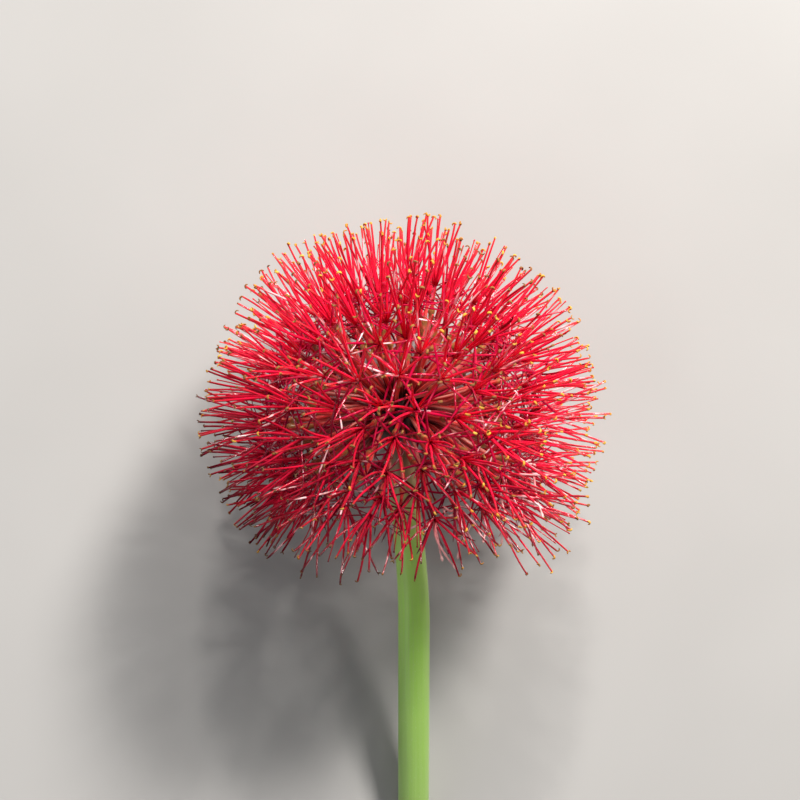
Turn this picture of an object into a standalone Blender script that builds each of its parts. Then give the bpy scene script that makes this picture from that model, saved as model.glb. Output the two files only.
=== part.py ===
"""A blood lily flower head on its cut scape, lying on a table.

The scape is a fleshy leafless stem that swells into a rounded receptacle. The flowers stand all round
the receptacle in threes, as a lily's umbel is made of small tight cymes: the three pedicels of a cyme
share one foot. Each flower is a pedicel, an ovary, a narrow tube, six narrow tepals that spread, and
six stamens. The stem lies along Y with the head at +Y and the table at z = 0, and the stamens under
the head are bent flat along the table by its weight. Metres; the origin is under the bounding box.
"""

import math
import random

import bmesh
import bpy
import numpy as np
from mathutils import Matrix, Vector

MM = 0.001

# The head
CYME_COUNT = 56
FLOWERS_IN_CYME = 3  # they share one foot on the receptacle
HEAD_REACH = 92.8 * MM  # from the head's centre to the anthers at its sides
CROWN_REACH = 2 * MM  # added to that towards the crown
LOW_REACH = -9 * MM  # added to it towards the scape, so the head draws in there
TUFT_REACH = 8 * MM  # added to it in one tuft that stands out
TUFT_WAY = (0.8, -0.57, 0.15)  # from the head's centre to the tuft
TUFT_NARROWNESS = 40
REACH_SCATTER = 3.5 * MM
HEAD_HEIGHT = 80 * MM  # of the head's centre above the table
THROAT_DISTANCE = 62 * MM  # from the head's centre to a flower's throat
THROAT_SCATTER = 5.5 * MM
LOWEST_FLOWER = math.radians(122)  # from the scape's own direction, at the head's left and right
LOWEST_SWAY = math.radians(8)  # how much lower it is on the side that lies on the table
SISTER_ANGLE = math.radians(8)  # from the middle of a cyme to each of its flowers
AIM_SCATTER = 0.08  # how far a flower looks aside from straight out, as a slope
SPREAD_ROUNDS = 60  # in which the flowers push each other apart
SPREAD_STEP = 0.03
SEED = 123

# The scape
SCAPE_LENGTH = 215 * MM  # from the cut to the head's centre
SCAPE_RADIUS = 7.8 * MM
NECK_RADIUS = 6.4 * MM
NECK_LENGTH = 105 * MM  # the stretch under the head where the scape bends aside and thins
SCAPE_LEAN = 6.8 * MM  # how far the scape bends aside there
SCAPE_RINGS = 12
TILT_ROUNDS = 20
RECEPTACLE_RADIUS = 12.5 * MM
RECEPTACLE_SHOULDER = math.radians(115)  # where the dome runs back into the neck
LOWEST_FOOT = math.radians(100)

# One flower
FLOWER_SIDES = 6
FOOT_RADIUS = 0.85 * MM
FOOT_HEIGHT = 0.7 * MM
FOOT_GAP = 0.35 * MM  # clearance between a foot and the receptacle
PEDICEL_RADIUS = 0.95 * MM
PEDICEL_MIDDLE = 0.45  # where its middle ring stands, as a share of its curve
PEDICEL_SWELL = 1.15  # how much thicker it is under the ovary
OVARY_LENGTH = 4.5 * MM
OVARY_RADIUS = 1.7 * MM
TUBE_LENGTH = 11 * MM
TUBE_RADIUS = 0.9 * MM
RIM_LENGTH = 1.3 * MM
RIM_RADIUS = 1.15 * MM
STAMEN_SEAT = 0.58  # how far out on the rim the stamens stand, as a share of its radius
TEPAL_SEAT = 0.8
TEPAL_LENGTH = (18 * MM, 24 * MM)
TEPAL_SPREAD = (56, 98)  # degrees from the flower's axis
TEPAL_CURL = (-5, 28)
OPENNESS = (0.6, 1.15)  # from a flower whose stamens stand in a narrow bundle to a wide one
STAMEN_SPREAD = (11, 26)
YOUNG_TO = math.radians(65)  # from the scape's direction: all flowers above this are young
OLD_FROM = math.radians(112)  # and all below this are old
OLD_OPENNESS = 0.8  # how much wider the stamens of an old flower spread, as a share
STAMEN_CURL = (-14, 9)
STAMEN_STRETCH = (0.95, 1.05)

# How the tepals and stamens keep clear of each other
ORGAN_STEPS = 12
ORGAN_ROOT = 0.3  # the share of an organ, or of its first stretch, that grows close to its neighbours
ORGAN_STRAIGHT = 3 * MM  # an organ that strays less from its chord is straight enough for one segment
ORGAN_TURN = 9  # degrees, the scatter of an organ round its flower
ORGAN_TURN_MOST = 22
ORGAN_TRIES = 240
ORGAN_RADIUS = 0.55 * MM
ORGAN_CLEARANCE = 0.2 * MM
NEARLY_PARALLEL = 1e-18
SCAPE_OWNER = -1  # flowers own what they place by their index, and the scape by this
SCAPE_CLEARANCE = 1 * MM
ROOTS_LENGTH = 8 * MM  # the room that a flower's stamens keep to themselves over its throat
ROOTS_RADIUS = 2.6 * MM
NEARBY = 60 * MM
TABLE_CLEARANCE = 0.5 * MM  # from the table to the middle of an organ that lies on it
TABLE_LIFT = 0.12 * MM  # how much higher an organ may lie at each new try

# The solids
SCAPE_SIDES = 24
RECEPTACLE_RINGS = 7
FILAMENT_TIP = 0.38 * MM
FILAMENT_BEND = 0.5 * MM
DOME_START = 1.6  # where the scape's rings end under the dome, in receptacle radii from the head's centre
CLEAR_STEP = 3  # the step of an organ's line that shows to which side it grows
WELD = 0.05 * MM
SMOOTH_ANGLE = math.radians(40)

COLOURS = {
    "scape": ((0.25, 0.36, 0.13), 0.4),
    "flower": ((0.62, 0.01, 0.03), 0.4),
}


# ------------------------------------------------------------------ where the flowers stand


def unit(vectors):
    return vectors / np.linalg.norm(vectors, axis=-1, keepdims=True)


def spread_out(directions):
    """The directions pushed apart over the head, none of them lower than the lowest flower."""
    for _ in range(SPREAD_ROUNDS):
        apart = directions[:, None, :] - directions[None, :, :]
        distance = np.linalg.norm(apart, axis=-1) + np.eye(len(directions))
        push = (apart / distance[..., None] ** 4).sum(axis=1)
        push -= (push * directions).sum(axis=1, keepdims=True) * directions
        directions = unit(directions + push * (SPREAD_STEP / np.linalg.norm(push, axis=1).max()))
        across = np.linalg.norm(directions[:, :2], axis=1)
        lowest = LOWEST_FLOWER + LOWEST_SWAY * directions[:, 1] / across
        low = directions[:, 2] < np.cos(lowest)
        directions[low, :2] *= (np.sin(lowest) / across)[low, None]
        directions[low, 2] = np.cos(lowest)[low]
    return directions


def flower_directions(rng):
    """A unit vector for each flower, with +Z up the scape. Each three in a row are a cyme."""
    golden_angle = math.pi * (3 - math.sqrt(5))
    found = []
    for cyme in range(CYME_COUNT):
        height = 1 - (1 - math.cos(LOWEST_FLOWER)) * (cyme + 0.5) / CYME_COUNT
        across = math.sqrt(1 - height * height)
        turn = cyme * golden_angle
        middle = Vector((across * math.cos(turn), across * math.sin(turn), height))
        apart = middle.orthogonal().normalized() * math.tan(SISTER_ANGLE)
        apart.rotate(Matrix.Rotation(rng.uniform(0, 2 * math.pi), 3, middle))
        for _ in range(FLOWERS_IN_CYME):
            found.append((middle + apart).normalized())
            apart.rotate(Matrix.Rotation(2 * math.pi / FLOWERS_IN_CYME, 3, middle))
    return spread_out(np.array(found))


def scape_tilt():
    """The scape's rise from its cut end, which rests on its rim, to the head's centre."""
    tilt = 0.0
    for _ in range(TILT_ROUNDS):
        tilt = math.asin((HEAD_HEIGHT - SCAPE_RADIUS * math.cos(tilt)) / SCAPE_LENGTH)
    return tilt


def head_to_table():
    """Turns the head's own frame, with +Z up the scape, to lie on the table with the scape's top at +Y."""
    return Matrix.Rotation(scape_tilt() - math.pi / 2, 3, "X")


# ------------------------------------------------------------------ one flower's line


def curve_point(start, start_way, end, end_way, share):
    """A point on the smooth curve that leaves start along start_way and reaches end along end_way."""
    length = (end - start).length
    back = 1 - share
    return (
        start * (back * back * (1 + 2 * share))
        + start_way * (length * share * back * back)
        + end * (share * share * (3 - 2 * share))
        - end_way * (length * share * share * back)
    )


def spine_of(foot, foot_way, throat, axis):
    """The flower's middle line as (point, radius), from its foot to the rim of its throat."""
    tube_base = throat - axis * TUBE_LENGTH
    ovary_base = tube_base - axis * OVARY_LENGTH
    middle = curve_point(foot, foot_way, ovary_base, axis, PEDICEL_MIDDLE)
    return [
        (foot, FOOT_RADIUS),
        (middle, PEDICEL_RADIUS),
        (ovary_base, PEDICEL_RADIUS * PEDICEL_SWELL),
        (tube_base - axis * (OVARY_LENGTH * 0.5), OVARY_RADIUS),
        (tube_base, TUBE_RADIUS),
        (throat - axis * RIM_LENGTH, TUBE_RADIUS),
        (throat, RIM_RADIUS),
    ]


def ways_along(points, first_way):
    """The direction in which each ring of a growing shape looks."""
    ways = [first_way]
    for before, here, after in zip(points, points[1:], points[2:]):
        ways.append(((here - before).normalized() + (after - here).normalized()).normalized())
    return ways + [(points[-1] - points[-2]).normalized()]


def carried(side, ways):
    """A sideways direction carried along the rings without twist."""
    side = side.copy()
    for before, after in zip(ways, ways[1:]):
        side.rotate(before.rotation_difference(after))
    return side


# ------------------------------------------------------------------ tepals and stamens


def kept_above_table(before, step, lift):
    """One step of an organ. Where it would go through the table, it runs on along it instead."""
    after = before + step
    if after.z >= lift:
        return after
    rise = lift - before.z
    along = Vector((step.x, step.y, 0)).normalized()
    reach = math.sqrt(max(step.length_squared - rise * rise, 0))
    return Vector((before.x, before.y, lift)) + along * reach


def organ_path(start, axis, side, spread, curl, length, lift):
    """A tepal's or filament's line: it leaves at an angle from the axis and curls on by another."""
    points = [start]
    for step in range(ORGAN_STEPS):
        angle = spread + curl * (step / ORGAN_STEPS - ORGAN_ROOT)
        way = axis * math.cos(angle) + side * math.sin(angle)
        points.append(kept_above_table(points[-1], way * (length / ORGAN_STEPS), lift))
    return points


def coarse(path):
    """The few points of a path that its solid follows: the ends, and the bend where it meets the table."""
    chord = path[-1] - path[0]
    off = [(p - path[0]).cross(chord).length / chord.length for p in path]
    bend = off.index(max(off))
    return [path[0], path[bend], path[-1]] if off[bend] > ORGAN_STRAIGHT else [path[0], path[-1]]


def segment_gaps(start, end, starts, ends):
    """The distance from one segment to each of many."""
    way, ways = end - start, ends - starts
    between = start - starts
    a = way @ way
    e = (ways * ways).sum(axis=1)
    b = ways @ way
    c = between @ way
    f = (ways * between).sum(axis=1)
    square = a * e - b * b
    s = np.clip((b * f - c * e) / np.where(square > NEARLY_PARALLEL, square, 1), 0, 1)
    t = np.clip((b * s + f) / e, 0, 1)
    s = np.clip((b * t - c) / a, 0, 1)
    apart = between + s[:, None] * way - t[:, None] * ways
    return np.linalg.norm(apart, axis=1)


def thick_segments(points, radius, owner):
    return [(*start, *end, radius, owner) for start, end in zip(points, points[1:])]


def least_gap(points, radius, others):
    """The least clearance between a thick line and many thick segments."""
    starts, ends = others[:, 0:3], others[:, 3:6]
    return min(
        (segment_gaps(np.array(a), np.array(b), starts, ends) - others[:, 6] - radius).min()
        for a, b in zip(points, points[1:])
    )


def outer_part(points):
    """An organ's line without its root, where it grows together with its neighbours."""
    return [points[0].lerp(points[1], ORGAN_ROOT), *points[1:]]


class Crowd:
    """All that has been placed so far, as rows of thick segments: start, end, radius and owner."""

    def __init__(self):
        self.all = np.empty((0, 8))
        self.outer_organs = np.empty((0, 8))

    def add(self, owner, points, radius):
        self.all = np.vstack([self.all, thick_segments(points, radius, owner)])

    def add_organ(self, owner, points, radius):
        self.add(owner, points, radius)
        outer = thick_segments(outer_part(points), radius, owner)
        self.outer_organs = np.vstack([self.outer_organs, outer])

    def round_about(self, owner, place):
        """What an organ must keep clear of: what others have near a place, and its own flower's organs."""
        middles = (self.all[:, 0:3] + self.all[:, 3:6]) / 2
        near = np.linalg.norm(middles - np.array(place), axis=1) < NEARBY
        others = self.all[near & (self.all[:, 7] != owner)]
        return others, self.outer_organs[self.outer_organs[:, 7] == owner]


def organ_sides(flower):
    """The six sideways directions in which a flower's flat faces look."""
    across = flower["axis"].cross(flower["side"])
    turns = [k * 2 * math.pi / FLOWER_SIDES for k in range(FLOWER_SIDES)]
    return [flower["side"] * math.cos(turn) + across * math.sin(turn) for turn in turns]


def place_organ(crowd, rng, flower, start, side, spreads, curls, lengths):
    """The clearest of several ways in which an organ could grow, or the first that is clear enough."""
    others, own = crowd.round_about(flower["index"], flower["throat"])
    best, best_gap = None, -1.0
    for attempt in range(ORGAN_TRIES):
        turn = max(-ORGAN_TURN_MOST, min(ORGAN_TURN_MOST, rng.gauss(0, ORGAN_TURN)))
        turned = side.copy()
        turned.rotate(Matrix.Rotation(math.radians(turn), 3, flower["axis"]))
        path = organ_path(
            start,
            flower["axis"],
            turned,
            math.radians(rng.uniform(*spreads)),
            math.radians(rng.uniform(*curls)),
            rng.uniform(*lengths),
            TABLE_CLEARANCE + TABLE_LIFT * attempt,
        )
        line = coarse(path)
        gap = least_gap(line, ORGAN_RADIUS, others)
        if len(own):
            gap = min(gap, least_gap(outer_part(line), ORGAN_RADIUS, own))
        if gap > best_gap:
            best, best_gap = path, gap
        if gap > ORGAN_CLEARANCE:
            break
    crowd.add_organ(flower["index"], coarse(best), ORGAN_RADIUS)
    return best


# ------------------------------------------------------------------ the whole head


def scape_point(centre, up, down):
    """A point of the scape's middle line and its radius there, a given way down from the head's centre."""
    share = min(down / NECK_LENGTH, 1)
    aside = Vector((SCAPE_LEAN * share * share * (3 - 2 * share), 0, 0))
    return centre - up * down + aside, NECK_RADIUS + (SCAPE_RADIUS - NECK_RADIUS) * share


def scape_line(centre, up):
    """The scape's middle line as (point, radius), from the cut to the head's centre."""
    rings = range(SCAPE_RINGS + 1)
    return [scape_point(centre, up, SCAPE_LENGTH * (1 - ring / SCAPE_RINGS)) for ring in rings]


def cyme_sides(foot_way, directions):
    """The cyme's flowers in their order round the foot, and the sideways direction of each one's place."""
    across = foot_way.orthogonal().normalized()
    beyond = foot_way.cross(across)
    middle = sum(directions, Vector()) / len(directions)
    turns = {}
    for number, direction in enumerate(directions):
        aside = direction - middle
        turns[number] = math.atan2(aside.dot(beyond), aside.dot(across))
    order = sorted(turns, key=turns.get)
    step = 2 * math.pi / len(directions)
    errors = [turns[number] - step * place for place, number in enumerate(order)]
    first = math.atan2(sum(map(math.sin, errors)), sum(map(math.cos, errors)))
    sides = [
        across * math.cos(first + step * place) + beyond * math.sin(first + step * place)
        for place in range(len(order))
    ]
    return order, sides


def reach_towards(direction, up):
    """How far the head reaches in a direction: more at its crown than low down, and most in one tuft."""
    height = direction.dot(up)
    crown, low = max(height, 0) ** 2, max(-height, 0)
    tuft = max(direction.dot(Vector(TUFT_WAY).normalized()), 0) ** TUFT_NARROWNESS
    return HEAD_REACH + CROWN_REACH * crown + LOW_REACH * low + TUFT_REACH * tuft


def age_at(direction, up):
    """0 for the young flowers at the crown, rising to 1 for the oldest, lowest ones."""
    polar = math.acos(max(-1, min(1, direction.dot(up))))
    share = max(0, min(1, (polar - YOUNG_TO) / (OLD_FROM - YOUNG_TO)))
    return share * share * (3 - 2 * share)


def place_spines(rng, crowd):
    """Every flower's stalk and throat, as a dict, with the head's centre over x = y = 0."""
    turned = head_to_table()
    up = turned.col[2]
    centre = Vector((0, 0, HEAD_HEIGHT))
    crowd.add(SCAPE_OWNER, [point for point, _ in scape_line(centre, up)], SCAPE_RADIUS + SCAPE_CLEARANCE)
    directions = [turned @ Vector(d) for d in flower_directions(rng)]
    flowers = []
    for cyme in range(CYME_COUNT):
        sisters = directions[cyme * FLOWERS_IN_CYME : (cyme + 1) * FLOWERS_IN_CYME]
        middle = sum(sisters, Vector()).normalized()
        polar = math.acos(middle.dot(up)) * LOWEST_FOOT / LOWEST_FLOWER
        out = (middle - up * middle.dot(up)).normalized()
        foot_way = up * math.cos(polar) + out * math.sin(polar)
        foot = centre + foot_way * (RECEPTACLE_RADIUS + FOOT_GAP)
        order, sides = cyme_sides(foot_way, sisters)
        for number, side in zip(order, sides):
            direction = sisters[number]
            aim = Vector([rng.gauss(0, AIM_SCATTER) for _ in range(3)])
            axis = (direction + aim).normalized()
            distance = THROAT_DISTANCE + rng.uniform(-THROAT_SCATTER, THROAT_SCATTER)
            reach = reach_towards(direction, up) + rng.uniform(-REACH_SCATTER, REACH_SCATTER)
            throat = centre + direction * distance
            start = foot + side * FOOT_RADIUS + foot_way * FOOT_HEIGHT
            spine = spine_of(start, foot_way, throat, axis)
            points = [point for point, _ in spine]
            flower = {
                "index": len(flowers),
                "foot": foot,
                "foot_way": foot_way,
                "foot_side": side,
                "axis": axis,
                "throat": throat,
                "stamen": reach - distance,
                "age": age_at(direction, up),
                "spine": spine,
                "side": carried(side.cross(foot_way), ways_along(points, foot_way)),
            }
            for (a, a_radius), (b, b_radius) in zip(spine, spine[1:]):
                crowd.add(flower["index"], [a, b], max(a_radius, b_radius))
            crowd.add(flower["index"], [throat, throat + axis * ROOTS_LENGTH], ROOTS_RADIUS)
            flowers.append(flower)
    return flowers


def place_flowers():
    """Every flower with the lines of its tepals and filaments."""
    rng = random.Random(SEED)
    crowd = Crowd()
    flowers = place_spines(rng, crowd)
    for flower in flowers:
        openness = rng.uniform(*OPENNESS) * (1 + OLD_OPENNESS * flower["age"])
        spreads = [angle * openness for angle in STAMEN_SPREAD]
        stamen = flower["stamen"] / math.cos(math.radians(sum(spreads) / 2))
        flower["filaments"] = [
            place_organ(
                crowd,
                rng,
                flower,
                flower["throat"] + side * (RIM_RADIUS * STAMEN_SEAT),
                side,
                spreads,
                STAMEN_CURL,
                [stamen * stretch for stretch in STAMEN_STRETCH],
            )
            for side in organ_sides(flower)
        ]
        flower["tepals"] = [
            place_organ(
                crowd,
                rng,
                flower,
                flower["throat"] - flower["axis"] * (RIM_LENGTH / 2) + side * RIM_RADIUS * TEPAL_SEAT,
                side,
                TEPAL_SPREAD,
                TEPAL_CURL,
                TEPAL_LENGTH,
            )
            for side in organ_sides(flower)
        ]
    return flowers


# ------------------------------------------------------------------ solids


def grow(bm, face, points, radii):
    """Extrudes a face along the points, turning it to look along them and giving it each radius in turn."""
    ways = ways_along([face.calc_center_median(), *points], face.normal.copy())
    for point, radius, way in zip(points, radii, ways[1:]):
        face = bmesh.ops.extrude_discrete_faces(bm, faces=[face])["faces"][0]
        centre = face.calc_center_median()
        face.normal_update()
        turn = face.normal.rotation_difference(way)
        mean = sum((v.co - centre).length for v in face.verts) / len(face.verts)
        for v in face.verts:
            arm = v.co - centre
            arm.rotate(turn)
            v.co = point + arm * (radius / mean)
        face.normal_update()
    return face


def add_organs(bm, rim, flower):
    """Six tepals from the sides of the throat's rim, and six filaments from its mouth."""
    bm.normal_update()
    walls = [f for e in rim.edges for f in e.link_faces if f != rim]
    mouth = bmesh.ops.poke(bm, faces=[rim])["faces"]
    axis = flower["axis"]
    for faces, paths, filament in ((walls, flower["tepals"], False), (mouth, flower["filaments"], True)):
        for path in paths:
            aside = path[CLEAR_STEP] - flower["throat"]
            aside -= axis * aside.dot(axis)
            face = max(faces, key=lambda f: (f.calc_center_median() - flower["throat"]).dot(aside))
            faces.remove(face)
            points = coarse(path)[1:]
            if filament:
                radii = [FILAMENT_TIP] if len(points) == 1 else [FILAMENT_BEND, FILAMENT_TIP]
                grow(bm, face, points, radii)
            else:
                if len(points) == 2:
                    face = grow(bm, face, points[:1], [FILAMENT_BEND])
                spike = bmesh.ops.poke(bm, faces=[face])["verts"][0]
                spike.co = points[-1]


def cyme_mesh(name, sisters):
    """The flowers that share one foot, as a single closed mesh. Their feet are cells of a honeycomb."""
    foot_way = sisters[0]["foot_way"]
    beyond = sisters[0]["foot_side"]
    frame = Matrix((beyond.cross(foot_way), beyond, foot_way)).transposed()
    bm = bmesh.new()
    for flower in sisters:
        beside = Matrix.Translation(frame.transposed() @ flower["foot_side"] * FOOT_RADIUS)
        bmesh.ops.create_circle(bm, cap_ends=True, segments=FLOWER_SIDES, radius=FOOT_RADIUS, matrix=beside)
    bmesh.ops.remove_doubles(bm, verts=bm.verts, dist=WELD)
    sole = list(bm.faces)
    raised = bmesh.ops.extrude_face_region(bm, geom=sole)["geom"]
    tops = [g for g in raised if isinstance(g, bmesh.types.BMFace)]
    bmesh.ops.translate(bm, verts=list({v for f in tops for v in f.verts}), vec=(0, 0, FOOT_HEIGHT))
    place = Matrix.Translation(sisters[0]["foot"]) @ frame.to_4x4()
    bmesh.ops.transform(bm, matrix=place, verts=bm.verts)
    bmesh.ops.recalc_face_normals(bm, faces=bm.faces)
    for flower in sisters:
        start = flower["spine"][0][0]
        top = min(tops, key=lambda f: (f.calc_center_median() - start).length)
        tops.remove(top)
        points = [point for point, _ in flower["spine"][1:]]
        radii = [radius for _, radius in flower["spine"][1:]]
        rim = grow(bm, top, points, radii)
        add_organs(bm, rim, flower)
    bmesh.ops.recalc_face_normals(bm, faces=bm.faces)
    mesh = bpy.data.meshes.new(name)
    bm.to_mesh(mesh)
    bm.free()
    return mesh


def scape_mesh(name):
    """The stem, tapering into its neck and swelling into the round receptacle."""
    turned = head_to_table()
    up = turned.col[2]
    centre = Vector((0, 0, HEAD_HEIGHT))
    dome_start = RECEPTACLE_RADIUS * DOME_START
    line = [(p, r) for p, r in scape_line(centre, up) if (centre - p).length > dome_start]
    for ring in range(RECEPTACLE_RINGS):
        polar = RECEPTACLE_SHOULDER * (1 - ring / RECEPTACLE_RINGS)
        point = centre + up * (RECEPTACLE_RADIUS * math.cos(polar))
        line.append((point, RECEPTACLE_RADIUS * math.sin(polar)))
    bm = bmesh.new()
    start = Matrix.Translation(line[0][0]) @ turned.to_4x4()
    bmesh.ops.create_circle(bm, cap_ends=True, segments=SCAPE_SIDES, radius=line[0][1], matrix=start)
    cut = bm.faces[:][0]
    top = bmesh.ops.extrude_face_region(bm, geom=[cut])["geom"]
    top = next(g for g in top if isinstance(g, bmesh.types.BMFace))
    bmesh.ops.translate(bm, verts=top.verts, vec=line[1][0] - line[0][0])
    bmesh.ops.recalc_face_normals(bm, faces=bm.faces)
    top = grow(bm, top, [p for p, _ in line[2:]], [r for _, r in line[2:]])
    crown = bmesh.ops.poke(bm, faces=[top])["verts"][0]
    crown.co = centre + up * RECEPTACLE_RADIUS
    bmesh.ops.recalc_face_normals(bm, faces=bm.faces)
    mesh = bpy.data.meshes.new(name)
    bm.to_mesh(mesh)
    bm.free()
    mesh.shade_smooth()
    mesh.set_sharp_from_angle(angle=SMOOTH_ANGLE)
    return mesh


# ------------------------------------------------------------------ the scene


def material(name):
    colour, roughness = COLOURS[name]
    made = bpy.data.materials.new(name)
    made.use_nodes = True
    shader = made.node_tree.nodes["Principled BSDF"]
    shader.inputs["Base Color"].default_value = (*colour, 1)
    shader.inputs["Roughness"].default_value = roughness
    return made


def add_object(name, mesh, finish):
    mesh.materials.append(finish)
    made = bpy.data.objects.new(name, mesh)
    bpy.context.scene.collection.objects.link(made)
    return made


def centre_over_origin(objects):
    """Moves everything so that the origin lies under the middle of the bounding box, on the table."""
    corners = np.array([v.co for made in objects for v in made.data.vertices])
    low, high = corners.min(axis=0), corners.max(axis=0)
    shift = Vector((-(low[0] + high[0]) / 2, -(low[1] + high[1]) / 2, -low[2]))
    for made in objects:
        made.location = shift


def main():
    for old in list(bpy.data.objects):
        bpy.data.objects.remove(old)
    objects = [add_object("scape", scape_mesh("scape"), material("scape"))]
    petal_red = material("flower")
    flowers = place_flowers()
    for cyme in range(CYME_COUNT):
        sisters = flowers[cyme * FLOWERS_IN_CYME : (cyme + 1) * FLOWERS_IN_CYME]
        name = f"flower_cyme_{cyme + 1:02d}"
        objects.append(add_object(name, cyme_mesh(name, sisters), petal_red))
    centre_over_origin(objects)


main()
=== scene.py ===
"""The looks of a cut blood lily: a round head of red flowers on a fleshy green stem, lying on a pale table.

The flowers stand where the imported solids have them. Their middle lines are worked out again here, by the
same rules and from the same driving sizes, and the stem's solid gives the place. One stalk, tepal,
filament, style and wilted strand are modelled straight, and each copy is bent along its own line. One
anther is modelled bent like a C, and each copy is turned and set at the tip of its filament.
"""

import math
import random
from typing import NamedTuple

import bpy
import numpy as np
from mathutils import Matrix, Vector


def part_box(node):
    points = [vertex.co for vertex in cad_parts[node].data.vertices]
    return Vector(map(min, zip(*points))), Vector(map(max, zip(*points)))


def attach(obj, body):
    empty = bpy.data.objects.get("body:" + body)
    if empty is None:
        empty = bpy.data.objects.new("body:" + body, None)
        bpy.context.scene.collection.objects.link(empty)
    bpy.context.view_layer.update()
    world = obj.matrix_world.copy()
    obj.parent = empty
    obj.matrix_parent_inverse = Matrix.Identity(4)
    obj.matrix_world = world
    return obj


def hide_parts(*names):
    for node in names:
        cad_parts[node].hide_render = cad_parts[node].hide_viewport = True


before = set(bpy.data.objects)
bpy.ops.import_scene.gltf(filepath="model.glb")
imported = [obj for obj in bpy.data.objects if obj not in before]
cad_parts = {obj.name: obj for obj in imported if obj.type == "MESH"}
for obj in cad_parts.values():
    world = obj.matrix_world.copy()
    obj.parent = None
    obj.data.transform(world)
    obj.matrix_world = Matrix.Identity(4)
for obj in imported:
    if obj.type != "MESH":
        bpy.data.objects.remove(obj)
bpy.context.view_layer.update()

MM = 0.001

# The head
CYME_COUNT = 56
FLOWERS_IN_CYME = 3  # they share one foot on the receptacle
HEAD_REACH = 92.8 * MM  # from the head's centre to the anthers at its sides
CROWN_REACH = 2 * MM  # added to that towards the crown
LOW_REACH = -9 * MM  # added to it towards the scape, so the head draws in there
TUFT_REACH = 8 * MM  # added to it in one tuft that stands out
TUFT_WAY = (0.8, -0.57, 0.15)  # from the head's centre to the tuft
TUFT_NARROWNESS = 40
REACH_SCATTER = 3.5 * MM
HEAD_HEIGHT = 80 * MM  # of the head's centre above the table
THROAT_DISTANCE = 62 * MM  # from the head's centre to a flower's throat
THROAT_SCATTER = 5.5 * MM
LOWEST_FLOWER = math.radians(122)  # from the scape's own direction, at the head's left and right
LOWEST_SWAY = math.radians(8)  # how much lower it is on the side that lies on the table
SISTER_ANGLE = math.radians(8)  # from the middle of a cyme to each of its flowers
AIM_SCATTER = 0.08  # how far a flower looks aside from straight out, as a slope
SPREAD_ROUNDS = 60  # in which the flowers push each other apart
SPREAD_STEP = 0.03
SEED = 123

# The scape
SCAPE_LENGTH = 215 * MM  # from the cut to the head's centre
SCAPE_RADIUS = 7.8 * MM
NECK_RADIUS = 6.4 * MM
NECK_LENGTH = 105 * MM  # the stretch under the head where the scape bends aside and thins
SCAPE_LEAN = 6.8 * MM  # how far the scape bends aside there
SCAPE_RINGS = 12
TILT_ROUNDS = 20
RECEPTACLE_RADIUS = 12.5 * MM
RECEPTACLE_SHOULDER = math.radians(115)  # where the dome runs back into the neck
LOWEST_FOOT = math.radians(100)

# One flower
FLOWER_SIDES = 6
FOOT_RADIUS = 0.85 * MM
FOOT_HEIGHT = 0.7 * MM
FOOT_GAP = 0.35 * MM  # clearance between a foot and the receptacle
PEDICEL_RADIUS = 0.95 * MM
PEDICEL_MIDDLE = 0.45  # where its middle ring stands, as a share of its curve
PEDICEL_SWELL = 1.15  # how much thicker it is under the ovary
OVARY_LENGTH = 4.5 * MM
OVARY_RADIUS = 1.7 * MM
TUBE_LENGTH = 11 * MM
TUBE_RADIUS = 0.9 * MM
RIM_LENGTH = 1.3 * MM
RIM_RADIUS = 1.15 * MM
STAMEN_SEAT = 0.58  # how far out on the rim the stamens stand, as a share of its radius
TEPAL_SEAT = 0.8
TEPAL_LENGTH = (18 * MM, 24 * MM)
TEPAL_SPREAD = (56, 98)  # degrees from the flower's axis
TEPAL_CURL = (-5, 28)
OPENNESS = (0.6, 1.15)  # from a flower whose stamens stand in a narrow bundle to a wide one
STAMEN_SPREAD = (11, 26)
YOUNG_TO = math.radians(65)  # from the scape's direction: all flowers above this are young
OLD_FROM = math.radians(112)  # and all below this are old
OLD_OPENNESS = 0.8  # how much wider the stamens of an old flower spread, as a share
STAMEN_CURL = (-14, 9)
STAMEN_STRETCH = (0.95, 1.05)

# How the tepals and stamens keep clear of each other
ORGAN_STEPS = 12
ORGAN_ROOT = 0.3  # the share of an organ, or of its first stretch, that grows close to its neighbours
ORGAN_STRAIGHT = 3 * MM  # an organ that strays less from its chord is straight enough for one segment
ORGAN_TURN = 9  # degrees, the scatter of an organ round its flower
ORGAN_TURN_MOST = 22
ORGAN_TRIES = 240
ORGAN_RADIUS = 0.55 * MM
ORGAN_CLEARANCE = 0.2 * MM
NEARLY_PARALLEL = 1e-18
SCAPE_OWNER = -1  # flowers own what they place by their index, and the scape by this
SCAPE_CLEARANCE = 1 * MM
ROOTS_LENGTH = 8 * MM  # the room that a flower's stamens keep to themselves over its throat
ROOTS_RADIUS = 2.6 * MM
NEARBY = 60 * MM
TABLE_CLEARANCE = 0.5 * MM  # from the table to the middle of an organ that lies on it
TABLE_LIFT = 0.12 * MM  # how much higher an organ may lie at each new try

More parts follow.
